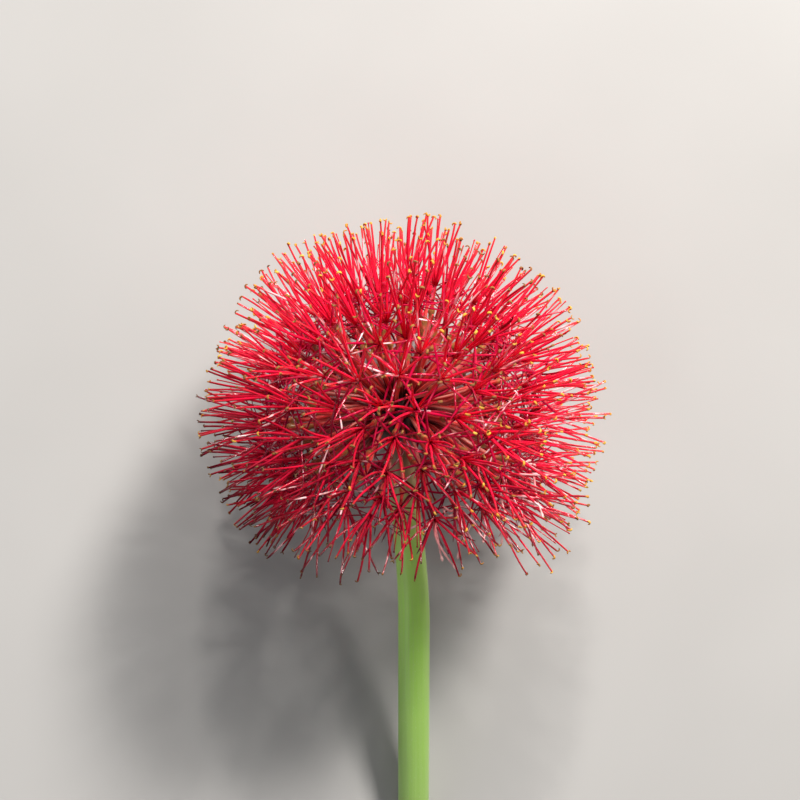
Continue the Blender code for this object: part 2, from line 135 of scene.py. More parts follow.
# Fine shapes
ORGAN_UNIT = 30 * MM  # the length at which tepals, filaments, styles and strands are modelled
THREAD_SIDES = 6  # of a filament, style or strand
SLIGHTLY = 0.01 * MM  # how far off its place an end face can be
FACING = 0.9  # the least a flat end's normal has along the shape
NO_LENGTH = 1e-9
STALK_PEDICEL = 36 * MM  # the pedicel's length on the modelled stalk
STALK_SIDES = 10
STALK_STEPS = 10  # along a pedicel's curve
STALK_FOOT = 0.95  # its radius at the foot, over FOOT_RADIUS
PEDICEL_RINGS = (0.12, 0.35, 0.6, 0.82, 0.97)  # how far up it they stand, as shares of its length
PEDICEL_THIN, PEDICEL_GAIN = 0.92, 0.18  # its radius low down over PEDICEL_RADIUS, and what it gains
OVARY_RINGS = (0.2, 0.42, 0.62, 0.85, 1.05)
OVARY_HALF = 0.62  # half the length of its swelling, over OVARY_LENGTH
TUBE_WAIST = (0.3, 0.86)  # how far up the tube it is narrowest, and its radius there over TUBE_RADIUS
RIM_RINGS = ((2, 0.96), (0.6, 1.12))  # RIM_LENGTHs under the mouth, and the radius over TUBE_RADIUS
MOUTH_EDGE = 0.3  # the thickness of the mouth's edge, over RIM_RADIUS
MOUTH_DEPTH = 0.6 * MM
FILAMENT_ROOT = 0.72 * MM
FILAMENT_TIP = 0.46 * MM
FILAMENT_RINGS = 11
FILAMENT_TAPER = 0.8  # under 1, it thins most near its root
FILAMENT_END = ((0.985, 1), (1, 0.55))  # height over its length, radius over FILAMENT_TIP
STYLE_SEED = 5
STYLE_RADIUS = 0.36 * MM
STYLE_RINGS = 9
STYLE_TAPER = 0.25  # how much thinner it gets up to its stigma
STIGMA_RINGS = ((0.97, 0.78), (0.985, 1.25), (1, 0.7))  # height over its length, radius over STYLE_RADIUS
STYLE_STRETCH = (0.98, 1.06)  # a style's length over its flower's stamens
STYLE_SPREAD = (2, 8)  # degrees from the flower's axis
STYLE_CURL = (-10, 14)
TEPAL_SIDES = 6
TEPAL_WIDTH = 1.35 * MM
TEPAL_THICKNESS = 0.42 * MM
TEPAL_CLAW = (0.62, 1.6)  # its foot's width and thickness, over those two
TEPAL_RINGS = (  # height over its length, width over TEPAL_WIDTH, thickness over the foot's
    (0.1, 0.66, 0.8),
    (0.24, 0.86, 0.62),
    (0.42, 1.0, 0.52),
    (0.6, 0.97, 0.5),
    (0.76, 0.82, 0.5),
    (0.88, 0.58, 0.5),
    (0.96, 0.32, 0.5),
    (1.0, 0.1, 0.3),
)
TEPAL_CHANNEL = 0.7  # how deep the blade's middle sinks between its edges, over its thickness
TEPAL_WIDTHS = (0.85, 1.12)  # how much wider one tepal is than the next, as a factor
ANTHER_SIDES = 8
ANTHER_LENGTH = 3.9 * MM  # along its bend
ANTHER_WIDTH = 1.2 * MM
ANTHER_FLATNESS = 0.75
ANTHER_BEND = math.radians(200)  # from one end to the other
ANTHER_FURROW = (0.1, 0.47, 0.45)  # between its sacs: half its width and length, and how thick it is there
ANTHER_FULLNESS = 0.35  # how much wider its ends are kept, so that its sacs stay full
ANTHER_LEAN = 35  # degrees either way from square across its filament
ANTHER_HOLD = 0.25  # how far from its middle it may be held, as a share of its length
ANTHER_SIZES = (0.75, 1.02)
ANTHER_SHRINKAGE = 0.25  # of the anthers in the deepest painted shade
ANTHERS_BENT_BACK = 0.65  # the share whose ends point back along the filament
TEPAL_SWAY, FILAMENT_SWAY = 0.9 * MM, 0.5 * MM  # how far an organ wanders off its line
SWAY_TURN = (2, 7)  # radians that it wanders round its line
SAG = 1.8 * MM  # how far a filament that stands out level has bent down towards the stem's foot
SAG_SCATTER = (0.3, 1.3)
ORGAN_SMOOTHING = 2
TOUCH = 0.02 * MM  # how close to the table the lowest organs may lie

# Painted shade, painted highlights, thinning and shed pollen
LOOKS_SEED = 23
PAINTED_SHADE_FROM, PAINTED_SHADE_TO = math.radians(80), math.radians(124)  # the lower flowers are painted darker, as painted shade
PAINTED_SHADE_LEAN = math.radians(22)  # the painted shade is deepest a little to one side, towards the head's lower left, away from the key light
OLD_THINNESS = 0.95
SHADED_STALK_TINT = 0.5  # how much of its brightness a stalk deep in the painted shade may still have
ORGAN_SHADES = (0.55, 1.45)  # how deep an organ's painted shade can be against its flower's, as a factor
ANTHER_SHADE = 1.3  # how deep an anther's painted shade is in the head's middle, over its filament's
ANTHER_SHADE_TO_RIGHT = 1.6  # how much less than that towards the head's right, nearer the key light
HIGHLIGHT_WAY = (0.86, -0.42, 0.1)  # the side where the filaments carry most painted highlights and are painted brighter
# how far their tint is pushed up on that side, for more painted highlights and less darkening
HIGHLIGHT_PUSH = 0.45
SHED_SHARE, SHED_SHARE_ON_TOP = 0.06, 0.62  # of the flowers, whose anthers have lost most of their pollen
SHED_POLLEN, FRESH_POLLEN = (0, 0.14), (0.3, 1)
GRAIN_APART = 7.3  # how far apart two organs lie in the noise of their skins
ORGANS_EACH = 14  # of one flower, counted in this order: its stalk, six tepals, six filaments and style
FIRST_TEPAL, FIRST_FILAMENT, STYLE = 1, 7, 13
TEPAL_FINISH, FILAMENT_FINISH, STRAND_FINISH = 0, 1, 2  # their places among the petals' skins

# Wilted strands
STRAND_WAYS = ((0.45, -0.78, 0.45), (0.85, -0.36, 0.38))  # where they hang
STRAND_FLOWERS = 3  # in each of these ways
STRANDS_EACH = 2
STRAND_RADIUS = 0.6 * MM
STRAND_RINGS = 24
STRAND_TAPER = 0.35
STRAND_BUMPS = (0.2, 2.1)  # their height over its radius, and the radians from ring to ring
STRAND_KNOB = (0.95, 0.08, 0.9)  # its place, half its length, and its height over the radius
STRAND_END = 0.5
STRAND_STEP = 1.0 * MM
STRAND_STEPS = (18, 30)
STRAND_CURLS = (0.06, 0.1, 0.42)  # radians at each step
STRAND_OUT = 0.6  # how much of its flower's direction a strand starts with, next to downwards
STRAND_ASIDE, STRAND_UP = (-0.3, 0.5), (-0.1, 0.4)  # slopes at which it starts
STRAND_WANDER = 0.3  # how much the axis of its curl turns at each step
STRAND_DROOP = Vector((0.02, -0.1, 0))  # added to its direction at each step
STRAND_SIDE = Vector((0.3, 0.2, 1))  # which way its first side looks
STRAND_SMOOTHING = 6

# The stem's fine shape
STEM_SIDES = 48
STEM_RINGS = 44
STEM_STEPS = 60  # along its middle line
STEM_EDGE = 0.35 * MM  # the bevel round its cut end
NECK_RISE = 6 * MM  # in which its neck widens into the receptacle
NECK_RINGS = 4
DOME_RINGS = 14
CUT_INSETS = ((0.7, -0.25), (1.1, 0.3), (2.2, 0.35))  # width and rise of each ring of the cut, in mm
CUT_DEPTH = 0.9 * MM  # all faces lower than this have the pith's finish
COARSE_RIBS = (7, 0.008, 1.3)  # how many run along the stem, their height over its radius, their start
FINE_RIBS = (16, 0.006, 19 * MM)  # the last here is the length in which they wind by one radian
STEM_LINE_END = 1.05  # how far the stem's line goes on past the head's centre, over RECEPTACLE_RADIUS

# Skins
GLOW_DEPTH = 0.6 * MM  # how deep light sinks in
COAT_ROUGHNESS = 0.2
COAT_IOR = 1.5
SMOOTHER, ROUGHER = 0.07, 0.09  # how far a skin's streaks change its roughness
GRAINY = 0.6  # how strongly most skins are bumped
TEPAL_REDS = ((0.37, 0.002, 0.026), (0.50, 0.003, 0.040), (0.60, 0.012, 0.060))  # foot, middle and tip
DARK_TEPAL_REDS = ((0.27, 0.001, 0.028), (0.10, 0.002, 0.012))  # foot and tip; these darker reds are mixed in at random, and as painted shade
FILAMENT_REDS = ((0.76, 0.003, 0.034), (0.97, 0.006, 0.054), (0.96, 0.060, 0.058))
# the filaments' darker reds, mixed in at random and as painted shade
DARK_FILAMENT_REDS = ((0.50, 0.008, 0.034), (0.08, 0.002, 0.008))
# the pale pink of the painted highlights on tepals and filaments
HIGHLIGHT_PINK = (0.96, 0.60, 0.62)
STALK_COLOURS = (  # from a stalk's foot to its mouth, which are 0 and 1 here; near black at the foot as painted shade in the head's crowded middle
    (0.0, (0.03, 0.008, 0.006)),
    (0.10, (0.09, 0.012, 0.010)),
    (0.24, (0.46, 0.012, 0.018)),
    (0.45, (0.84, 0.036, 0.044)),
    (0.66, (0.88, 0.034, 0.044)),
    (0.715, (0.42, 0.22, 0.06)),
    (0.755, (0.44, 0.22, 0.06)),
    (0.80, (0.72, 0.05, 0.04)),
    (1.0, (0.66, 0.005, 0.03)),
)
STALK_GREEN = (0.42, 0.22, 0.08)
# the pale pink of the painted highlights on the pedicels
STALK_HIGHLIGHT_PINK = (0.98, 0.44, 0.36)
# the dark red of pedicels in painted shade
STALK_PAINTED_SHADE = (0.15, 0.006, 0.010)
POLLEN_COLOURS = (  # from the anthers that have shed the most to the freshest
    (0.0, (0.16, 0.07, 0.018)),
    (0.14, (0.34, 0.14, 0.018)),
    (0.24, (0.58, 0.22, 0.014)),
    (0.7, (0.74, 0.36, 0.024)),
    (1.0, (0.80, 0.50, 0.06)),
)
# the darker colour on the inside of an anther's bend
BEND_INSIDE_DARK = (0.17, 0.07, 0.014)
POLLEN_ORANGE = (0.45, 0.13, 0.01)
# the dark of anthers in painted shade
SHADED_ANTHER = (0.08, 0.035, 0.012)
WILTED_COLOURS = ((0.0, (0.85, 0.16, 0.18)), (0.4, (0.95, 0.42, 0.42)), (1.0, (0.95, 0.60, 0.56)))
WILTED_RED = (0.62, 0.10, 0.11)
SCAPE_COLOURS = (  # from the cut to the top of the receptacle, with painted light and shade: palest just below the head, where the head shades it, darker towards the cut, which the key light reaches fully, and near black up into the head
    (0.0, (0.31, 0.49, 0.12)),
    (0.38, (0.35, 0.61, 0.11)),
    (0.52, (0.42, 0.75, 0.12)),
    (0.68, (0.37, 0.60, 0.11)),
    (0.76, (0.38, 0.38, 0.13)),
    (0.85, (0.36, 0.22, 0.11)),
    (0.91, (0.16, 0.05, 0.03)),
    (0.95, (0.03, 0.008, 0.006)),
    (1.0, (0.03, 0.008, 0.006)),
)
SCAPE_LINE = (0.38, 0.55, 0.18)
SCAPE_FLECK = (0.52, 0.64, 0.34)
SCAPE_BLOTCH = (0.18, 0.34, 0.06)
PITH_PALE = (0.55, 0.60, 0.33)
PITH_GREEN = (0.42, 0.50, 0.22)
PITH_DOT = (0.20, 0.27, 0.09)
TABLE_GREYS = ((0.42, 0.41, 0.395), (0.40, 0.39, 0.375))

# The table and the light
TABLE_SIZE = 6  # metres
LIGHT_DISTANCE = 2.6
LIGHTS = (  # name, direction from the head, distance and size in metres, watts, colour
    ("key", (0.45, 0.68, 0.72), LIGHT_DISTANCE, 0.55, 112, (1.0, 0.97, 0.94)),
    ("sparkle", (0.02, 0.80, 0.62), LIGHT_DISTANCE, 0.2, 42, (1.0, 0.97, 0.94)),
    ("fill", (-0.85, -0.5, 0.5), 1.6, 0.9, 5.0, (0.93, 0.96, 1.0)),
)
SURROUND_COLOUR = (0.92, 0.95, 1.0, 1)
SURROUND_STRENGTH = 0.19

# The camera
CAMERA_LENS = 100  # mm
CAMERA_SENSOR = 36  # mm
VIEW_WIDTH = 380 * MM  # what it takes in at the height of the head's centre
HEAD_BELOW_MIDDLE = 9.6 * MM  # how far the head's centre lies under the middle of the view


# ------------------------------------------------------------------ where the flowers stand


def unit(vectors):
    """Each vector at a length of 1."""
    return vectors / np.linalg.norm(vectors, axis=-1, keepdims=True)


def spread_out(directions):
    """The directions pushed apart over the head, none of them lower than the lowest flower."""
    for _ in range(SPREAD_ROUNDS):
        apart = directions[:, None, :] - directions[None, :, :]
        distance = np.linalg.norm(apart, axis=-1) + np.eye(len(directions))
        push = (apart / distance[..., None] ** 4).sum(axis=1)
        push -= (push * directions).sum(axis=1, keepdims=True) * directions
        directions = unit(directions + push * (SPREAD_STEP / np.linalg.norm(push, axis=1).max()))
        across = np.linalg.norm(directions[:, :2], axis=1)
        lowest = LOWEST_FLOWER + LOWEST_SWAY * directions[:, 1] / across
        low = directions[:, 2] < np.cos(lowest)
        directions[low, :2] *= (np.sin(lowest) / across)[low, None]
        directions[low, 2] = np.cos(lowest)[low]
    return directions


def flower_directions(rng):
    """A unit vector for each flower, with +Z up the scape. Each three in a row are a cyme."""
    golden_angle = math.pi * (3 - math.sqrt(5))
    found = []
    for cyme in range(CYME_COUNT):
        height = 1 - (1 - math.cos(LOWEST_FLOWER)) * (cyme + 0.5) / CYME_COUNT
        across = math.sqrt(1 - height * height)
        turn = cyme * golden_angle
        middle = Vector((across * math.cos(turn), across * math.sin(turn), height))
        apart = middle.orthogonal().normalized() * math.tan(SISTER_ANGLE)
        apart.rotate(Matrix.Rotation(rng.uniform(0, 2 * math.pi), 3, middle))
        for _ in range(FLOWERS_IN_CYME):
            found.append((middle + apart).normalized())
            apart.rotate(Matrix.Rotation(2 * math.pi / FLOWERS_IN_CYME, 3, middle))
    return spread_out(np.array(found))


def scape_tilt():
    """The scape's rise from its cut end, which rests on its rim, to the head's centre."""
    tilt = 0.0
    for _ in range(TILT_ROUNDS):
        tilt = math.asin((HEAD_HEIGHT - SCAPE_RADIUS * math.cos(tilt)) / SCAPE_LENGTH)
    return tilt


def head_to_table():
    """Turns the head's own frame, with +Z up the scape, to lie on the table with the scape's top at +Y."""
    return Matrix.Rotation(scape_tilt() - math.pi / 2, 3, "X")


def head_place():
    """How far the head's centre in the frame lies from x = y = 0, read off the solid of the scape."""
    low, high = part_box("scape")
    tilt = scape_tilt()
    return Vector(
        (
            high.x - SCAPE_LEAN - SCAPE_RADIUS,
            low.y + SCAPE_LENGTH * math.cos(tilt) + SCAPE_RADIUS * math.sin(tilt),
            low.z,
        )
    )


# ------------------------------------------------------------------ one flower's line


def curve_point(start, start_way, end, end_way, share):
    """A point on the smooth curve that leaves start along start_way and reaches end along end_way."""
    length = (end - start).length
    back = 1 - share
    return (
        start * (back * back * (1 + 2 * share))
        + start_way * (length * share * back * back)
        + end * (share * share * (3 - 2 * share))
        - end_way * (length * share * share * back)
    )


def spine_of(foot, foot_way, throat, axis):
    """The flower's middle line as (point, radius), from its foot to the rim of its throat."""
    tube_base = throat - axis * TUBE_LENGTH
    ovary_base = tube_base - axis * OVARY_LENGTH
    middle = curve_point(foot, foot_way, ovary_base, axis, PEDICEL_MIDDLE)
    return [
        (foot, FOOT_RADIUS),
        (middle, PEDICEL_RADIUS),
        (ovary_base, PEDICEL_RADIUS * PEDICEL_SWELL),
        (tube_base - axis * (OVARY_LENGTH * 0.5), OVARY_RADIUS),
        (tube_base, TUBE_RADIUS),
        (throat - axis * RIM_LENGTH, TUBE_RADIUS),
        (throat, RIM_RADIUS),
    ]


def ways_along(points, first_way):
    """The direction in which each ring of a growing shape looks."""
    ways = [first_way]
    for before, here, after in zip(points, points[1:], points[2:]):
        ways.append(((here - before).normalized() + (after - here).normalized()).normalized())
    return ways + [(points[-1] - points[-2]).normalized()]


def carried(side, ways):
    """A sideways direction carried along the rings without twist."""
    side = side.copy()
    for before, after in zip(ways, ways[1:]):
        side.rotate(before.rotation_difference(after))
    return side


# ------------------------------------------------------------------ tepals and stamens


def kept_above_table(before, step, lift):
    """One step of an organ. Where it would go through the table, it runs on along it instead."""
    after = before + step
    if after.z >= lift:
        return after
    rise = lift - before.z
    along = Vector((step.x, step.y, 0)).normalized()
    reach = math.sqrt(max(step.length_squared - rise * rise, 0))
    return Vector((before.x, before.y, lift)) + along * reach


def organ_path(start, axis, side, spread, curl, length, lift):
    """A tepal's or filament's line: it leaves at an angle from the axis and curls on by another."""
    points = [start]
    for step in range(ORGAN_STEPS):
        angle = spread + curl * (step / ORGAN_STEPS - ORGAN_ROOT)
        way = axis * math.cos(angle) + side * math.sin(angle)
        points.append(kept_above_table(points[-1], way * (length / ORGAN_STEPS), lift))
    return points


def coarse(path):
    """The few points of a path that its solid follows: the ends, and the bend where it meets the table."""
    chord = path[-1] - path[0]
    off = [(p - path[0]).cross(chord).length / chord.length for p in path]
    bend = off.index(max(off))
    return [path[0], path[bend], path[-1]] if off[bend] > ORGAN_STRAIGHT else [path[0], path[-1]]


def segment_gaps(start, end, starts, ends):
    """The distance from one segment to each of many."""
    way, ways = end - start, ends - starts
    between = start - starts
    a = way @ way
    e = (ways * ways).sum(axis=1)
    b = ways @ way
    c = between @ way
    f = (ways * between).sum(axis=1)
    square = a * e - b * b
    s = np.clip((b * f - c * e) / np.where(square > NEARLY_PARALLEL, square, 1), 0, 1)
    t = np.clip((b * s + f) / e, 0, 1)
    s = np.clip((b * t - c) / a, 0, 1)
    apart = between + s[:, None] * way - t[:, None] * ways
    return np.linalg.norm(apart, axis=1)


def thick_segments(points, radius, owner):
    return [(*start, *end, radius, owner) for start, end in zip(points, points[1:])]


def least_gap(points, radius, others):
    """The least clearance between a thick line and many thick segments."""
    starts, ends = others[:, 0:3], others[:, 3:6]
    return min(
        (segment_gaps(np.array(a), np.array(b), starts, ends) - others[:, 6] - radius).min()
        for a, b in zip(points, points[1:])
    )


def outer_part(points):
    """An organ's line without its root, where it grows together with its neighbours."""
    return [points[0].lerp(points[1], ORGAN_ROOT), *points[1:]]


class Crowd:
    """All that has been placed so far, as rows of thick segments: start, end, radius and owner."""

    def __init__(self):
        self.all = np.empty((0, 8))
        self.outer_organs = np.empty((0, 8))

    def add(self, owner, points, radius):
        self.all = np.vstack([self.all, thick_segments(points, radius, owner)])

    def add_organ(self, owner, points, radius):
        self.add(owner, points, radius)
        outer = thick_segments(outer_part(points), radius, owner)
        self.outer_organs = np.vstack([self.outer_organs, outer])

    def round_about(self, owner, place):
        """What an organ must keep clear of: what others have near a place, and its own flower's organs."""
        middles = (self.all[:, 0:3] + self.all[:, 3:6]) / 2
        near = np.linalg.norm(middles - np.array(place), axis=1) < NEARBY
        others = self.all[near & (self.all[:, 7] != owner)]
        return others, self.outer_organs[self.outer_organs[:, 7] == owner]


def organ_sides(flower):
    """The six sideways directions in which a flower's flat faces look."""
    across = flower["axis"].cross(flower["side"])
    turns = [k * 2 * math.pi / FLOWER_SIDES for k in range(FLOWER_SIDES)]
    return [flower["side"] * math.cos(turn) + across * math.sin(turn) for turn in turns]


def place_organ(crowd, rng, flower, start, side, spreads, curls, lengths):
    """The clearest of several ways in which an organ could grow, or the first that is clear enough."""
    others, own = crowd.round_about(flower["index"], flower["throat"])
    best, best_gap = None, -1.0
    for attempt in range(ORGAN_TRIES):
        turn = max(-ORGAN_TURN_MOST, min(ORGAN_TURN_MOST, rng.gauss(0, ORGAN_TURN)))
        turned = side.copy()
        turned.rotate(Matrix.Rotation(math.radians(turn), 3, flower["axis"]))
        path = organ_path(
            start,
            flower["axis"],
            turned,
            math.radians(rng.uniform(*spreads)),
            math.radians(rng.uniform(*curls)),
            rng.uniform(*lengths),
            TABLE_CLEARANCE + TABLE_LIFT * attempt,
        )
        line = coarse(path)
        gap = least_gap(line, ORGAN_RADIUS, others)
        if len(own):
            gap = min(gap, least_gap(outer_part(line), ORGAN_RADIUS, own))
        if gap > best_gap:
            best, best_gap = path, gap
        if gap > ORGAN_CLEARANCE:
            break
    crowd.add_organ(flower["index"], coarse(best), ORGAN_RADIUS)
    return best


# ------------------------------------------------------------------ the whole head


def scape_point(centre, up, down):
    """A point of the scape's middle line and its radius there, a given way down from the head's centre."""
    share = min(down / NECK_LENGTH, 1)
    aside = Vector((SCAPE_LEAN * share * share * (3 - 2 * share), 0, 0))
    return centre - up * down + aside, NECK_RADIUS + (SCAPE_RADIUS - NECK_RADIUS) * share


def scape_line(centre, up):
    """The scape's middle line as (point, radius), from the cut to the head's centre."""
    rings = range(SCAPE_RINGS + 1)
    return [scape_point(centre, up, SCAPE_LENGTH * (1 - ring / SCAPE_RINGS)) for ring in rings]


def cyme_sides(foot_way, directions):
    """The cyme's flowers in their order round the foot, and the sideways direction of each one's place."""
    across = foot_way.orthogonal().normalized()
    beyond = foot_way.cross(across)
    middle = sum(directions, Vector()) / len(directions)
    turns = {}
    for number, direction in enumerate(directions):
        aside = direction - middle
        turns[number] = math.atan2(aside.dot(beyond), aside.dot(across))
    order = sorted(turns, key=turns.get)
    step = 2 * math.pi / len(directions)
    errors = [turns[number] - step * place for place, number in enumerate(order)]
    first = math.atan2(sum(map(math.sin, errors)), sum(map(math.cos, errors)))
    sides = [
        across * math.cos(first + step * place) + beyond * math.sin(first + step * place)
        for place in range(len(order))
    ]
    return order, sides


def reach_towards(direction, up):
    """How far the head reaches in a direction: more at its crown than low down, and most in one tuft."""
    height = direction.dot(up)
    crown, low = max(height, 0) ** 2, max(-height, 0)
    tuft = max(direction.dot(Vector(TUFT_WAY).normalized()), 0) ** TUFT_NARROWNESS
    return HEAD_REACH + CROWN_REACH * crown + LOW_REACH * low + TUFT_REACH * tuft


def age_at(direction, up, young_to=YOUNG_TO, old_from=OLD_FROM):
    """0 for the young flowers at the crown, rising to 1 for the oldest, lowest ones."""
    polar = math.acos(max(-1, min(1, direction.dot(up))))
    share = max(0, min(1, (polar - young_to) / (old_from - young_to)))
    return share * share * (3 - 2 * share)


def place_spines(rng, crowd):
    """Every flower's stalk and throat, as a dict, with the head's centre over x = y = 0."""
    turned = head_to_table()
    up = turned.col[2]
    centre = Vector((0, 0, HEAD_HEIGHT))
    crowd.add(SCAPE_OWNER, [point for point, _ in scape_line(centre, up)], SCAPE_RADIUS + SCAPE_CLEARANCE)
    directions = [turned @ Vector(d) for d in flower_directions(rng)]
    flowers = []
    for cyme in range(CYME_COUNT):
        sisters = directions[cyme * FLOWERS_IN_CYME : (cyme + 1) * FLOWERS_IN_CYME]
        middle = sum(sisters, Vector()).normalized()
        polar = math.acos(middle.dot(up)) * LOWEST_FOOT / LOWEST_FLOWER
        out = (middle - up * middle.dot(up)).normalized()
        foot_way = up * math.cos(polar) + out * math.sin(polar)
        foot = centre + foot_way * (RECEPTACLE_RADIUS + FOOT_GAP)
        order, sides = cyme_sides(foot_way, sisters)
        for number, side in zip(order, sides):
            direction = sisters[number]
            aim = Vector([rng.gauss(0, AIM_SCATTER) for _ in range(3)])
            axis = (direction + aim).normalized()
            distance = THROAT_DISTANCE + rng.uniform(-THROAT_SCATTER, THROAT_SCATTER)
            reach = reach_towards(direction, up) + rng.uniform(-REACH_SCATTER, REACH_SCATTER)
            throat = centre + direction * distance
            start = foot + side * FOOT_RADIUS + foot_way * FOOT_HEIGHT
            spine = spine_of(start, foot_way, throat, axis)
            points = [point for point, _ in spine]
            flower = {
                "index": len(flowers),
                "foot": foot,
                "foot_way": foot_way,
                "foot_side": side,
                "axis": axis,
                "throat": throat,
                "stamen": reach - distance,
                "age": age_at(direction, up),
                "side": carried(side.cross(foot_way), ways_along(points, foot_way)),
            }
            for (a, a_radius), (b, b_radius) in zip(spine, spine[1:]):
                crowd.add(flower["index"], [a, b], max(a_radius, b_radius))
            crowd.add(flower["index"], [throat, throat + axis * ROOTS_LENGTH], ROOTS_RADIUS)
            flowers.append(flower)
    return flowers


def place_flowers():
    """Every flower with the lines of its tepals and filaments."""
    rng = random.Random(SEED)
    crowd = Crowd()
    flowers = place_spines(rng, crowd)
    for flower in flowers:
        openness = rng.uniform(*OPENNESS) * (1 + OLD_OPENNESS * flower["age"])
        spreads = [angle * openness for angle in STAMEN_SPREAD]
        stamen = flower["stamen"] / math.cos(math.radians(sum(spreads) / 2))
        flower["filaments"] = [
            place_organ(
                crowd,
                rng,
                flower,
                flower["throat"] + side * (RIM_RADIUS * STAMEN_SEAT),
                side,
                spreads,
                STAMEN_CURL,
                [stamen * stretch for stretch in STAMEN_STRETCH],
            )
            for side in organ_sides(flower)
        ]
        flower["tepals"] = [
            place_organ(
                crowd,
                rng,
                flower,
                flower["throat"] - flower["axis"] * (RIM_LENGTH / 2) + side * RIM_RADIUS * TEPAL_SEAT,
                side,
                TEPAL_SPREAD,
                TEPAL_CURL,
                TEPAL_LENGTH,
            )
            for side in organ_sides(flower)
        ]
    return flowers


def turned_at_random(rng, side, axis):
    """A sideways direction turned round an axis by a random angle."""
    side = side.copy()
    side.rotate(Matrix.Rotation(rng.uniform(0, 2 * math.pi), 3, axis))
    return side


def add_styles(flowers):
    """Each flower's thread-like style, up the middle of its stamens."""
    rng = random.Random(STYLE_SEED)
    for flower in flowers:
        throat, axis = flower["throat"], flower["axis"]
        length = flower["stamen"] * rng.uniform(*STYLE_STRETCH)
        side = turned_at_random(rng, flower["side"], axis)
        spread, curl = math.radians(rng.uniform(*STYLE_SPREAD)), math.radians(rng.uniform(*STYLE_CURL))
        flower["style"] = organ_path(throat, axis, side, spread, curl, length, TABLE_CLEARANCE)


# ------------------------------------------------------------------ modelling by hand


def edited(shape, name):
    """Names a primitive that was just added and opens it for editing with everything selected."""
    shape.name = name
    shape.data.name = name
    bpy.ops.object.mode_set(mode="EDIT")
    bpy.ops.mesh.select_mode(type="FACE")
    bpy.ops.mesh.select_all(action="SELECT")
    return shape


def select_faces(shape, wanted):
    """Selects the faces that are wanted, and nothing else, and opens the shape for editing."""
    bpy.ops.object.mode_set(mode="EDIT")
    bpy.ops.mesh.select_all(action="DESELECT")
    bpy.ops.object.mode_set(mode="OBJECT")
    for face in shape.data.polygons:
        face.select = wanted(face)
    bpy.ops.object.mode_set(mode="EDIT")


def inset_selected(width, rise):
    """Insets the selected faces, and moves what is inside them up or down."""
    bpy.ops.mesh.inset(thickness=width, depth=0)
    bpy.ops.transform.translate(value=(0, 0, rise))


def extrude_up(height, rise, widen, thicken):
    """Extrudes the selected top by rise, from height, and resizes the new top about its own middle."""
    bpy.ops.mesh.extrude_region_move(TRANSFORM_OT_translate={"value": (0, 0, rise)})
    bpy.ops.transform.resize(value=(widen, thicken, 1), center_override=(0, 0, height + rise))


def closed_shape(shape):
    """Turns every face outwards and leaves edit mode."""
    bpy.ops.mesh.select_all(action="SELECT")
    bpy.ops.mesh.normals_make_consistent(inside=False)
    bpy.ops.object.mode_set(mode="OBJECT")
    return shape


def disc(name, sides, radius, height=0.0):
    """A round face to start from, open for editing."""
    bpy.ops.object.select_all(action="DESELECT")
    bpy.ops.mesh.primitive_circle_add(
        vertices=sides, radius=radius, fill_type="NGON", location=(0, 0, height)
    )
    bpy.ops.object.transform_apply(location=True, rotation=True, scale=True)
    return edited(bpy.context.active_object, name)


def turned_shape(name, profile, sides):
    """A straight stalk, grown up from its foot by extruding it to each (height, radius) of the profile."""
    height, radius = profile[0]
    shape = disc(name, sides, radius, height)
    for (low, before), (high, after) in zip(profile, profile[1:]):
        extrude_up(low, high - low, after / before, after / before)
    return closed_shape(shape)


def bulge(place, middle, half, height):
    """How much a smooth swelling adds at a place along a profile."""
    off = min(abs(place - middle) / half, 1)
    return height * (math.cos(off * math.pi) + 1) / 2


def stalk_shape():
    """A pedicel, ovary and tube, standing straight, with the tube's flared mouth on top."""
    tube_foot = STALK_PEDICEL + OVARY_LENGTH
    mouth = tube_foot + TUBE_LENGTH
    swelling = (STALK_PEDICEL + OVARY_LENGTH / 2, OVARY_LENGTH * OVARY_HALF, OVARY_RADIUS - TUBE_RADIUS)
    profile = [(0.0, FOOT_RADIUS * STALK_FOOT)]
    for share in PEDICEL_RINGS:
        profile.append((STALK_PEDICEL * share, PEDICEL_RADIUS * (PEDICEL_THIN + PEDICEL_GAIN * share)))
    for share in OVARY_RINGS:
        height = STALK_PEDICEL + OVARY_LENGTH * share
        profile.append((height, TUBE_RADIUS + bulge(height, *swelling)))
    share, wide = TUBE_WAIST
    profile.append((tube_foot + TUBE_LENGTH * share, TUBE_RADIUS * wide))
    for under, wide in RIM_RINGS:
        profile.append((mouth - RIM_LENGTH * under, TUBE_RADIUS * wide))
    profile.append((mouth, RIM_RADIUS))
    shape = turned_shape("stalk_shape", profile, STALK_SIDES)
    select_faces(shape, lambda face: face.center.z > mouth - SLIGHTLY and face.normal.z > FACING)
    inset_selected(RIM_RADIUS * MOUTH_EDGE, -MOUTH_DEPTH)
    return closed_shape(shape)


def filament_shape():
    """A round filament, tapering to its tip, which is rounded off."""
    profile = []
    for ring in range(FILAMENT_RINGS):
        share = ring / FILAMENT_RINGS
        radius = FILAMENT_ROOT + (FILAMENT_TIP - FILAMENT_ROOT) * share**FILAMENT_TAPER
        profile.append((ORGAN_UNIT * share, radius))
    profile += [(ORGAN_UNIT * share, FILAMENT_TIP * wide) for share, wide in FILAMENT_END]
    return turned_shape("filament_shape", profile, THREAD_SIDES)


def style_shape():
    """The thread of the style, with the small knob of its stigma."""
    profile = []
    for ring in range(STYLE_RINGS):
        share = ring / STYLE_RINGS
        profile.append((ORGAN_UNIT * share, STYLE_RADIUS * (1 - STYLE_TAPER * share)))
    profile += [(ORGAN_UNIT * share, STYLE_RADIUS * wide) for share, wide in STIGMA_RINGS]
    return turned_shape("style_shape", profile, THREAD_SIDES)


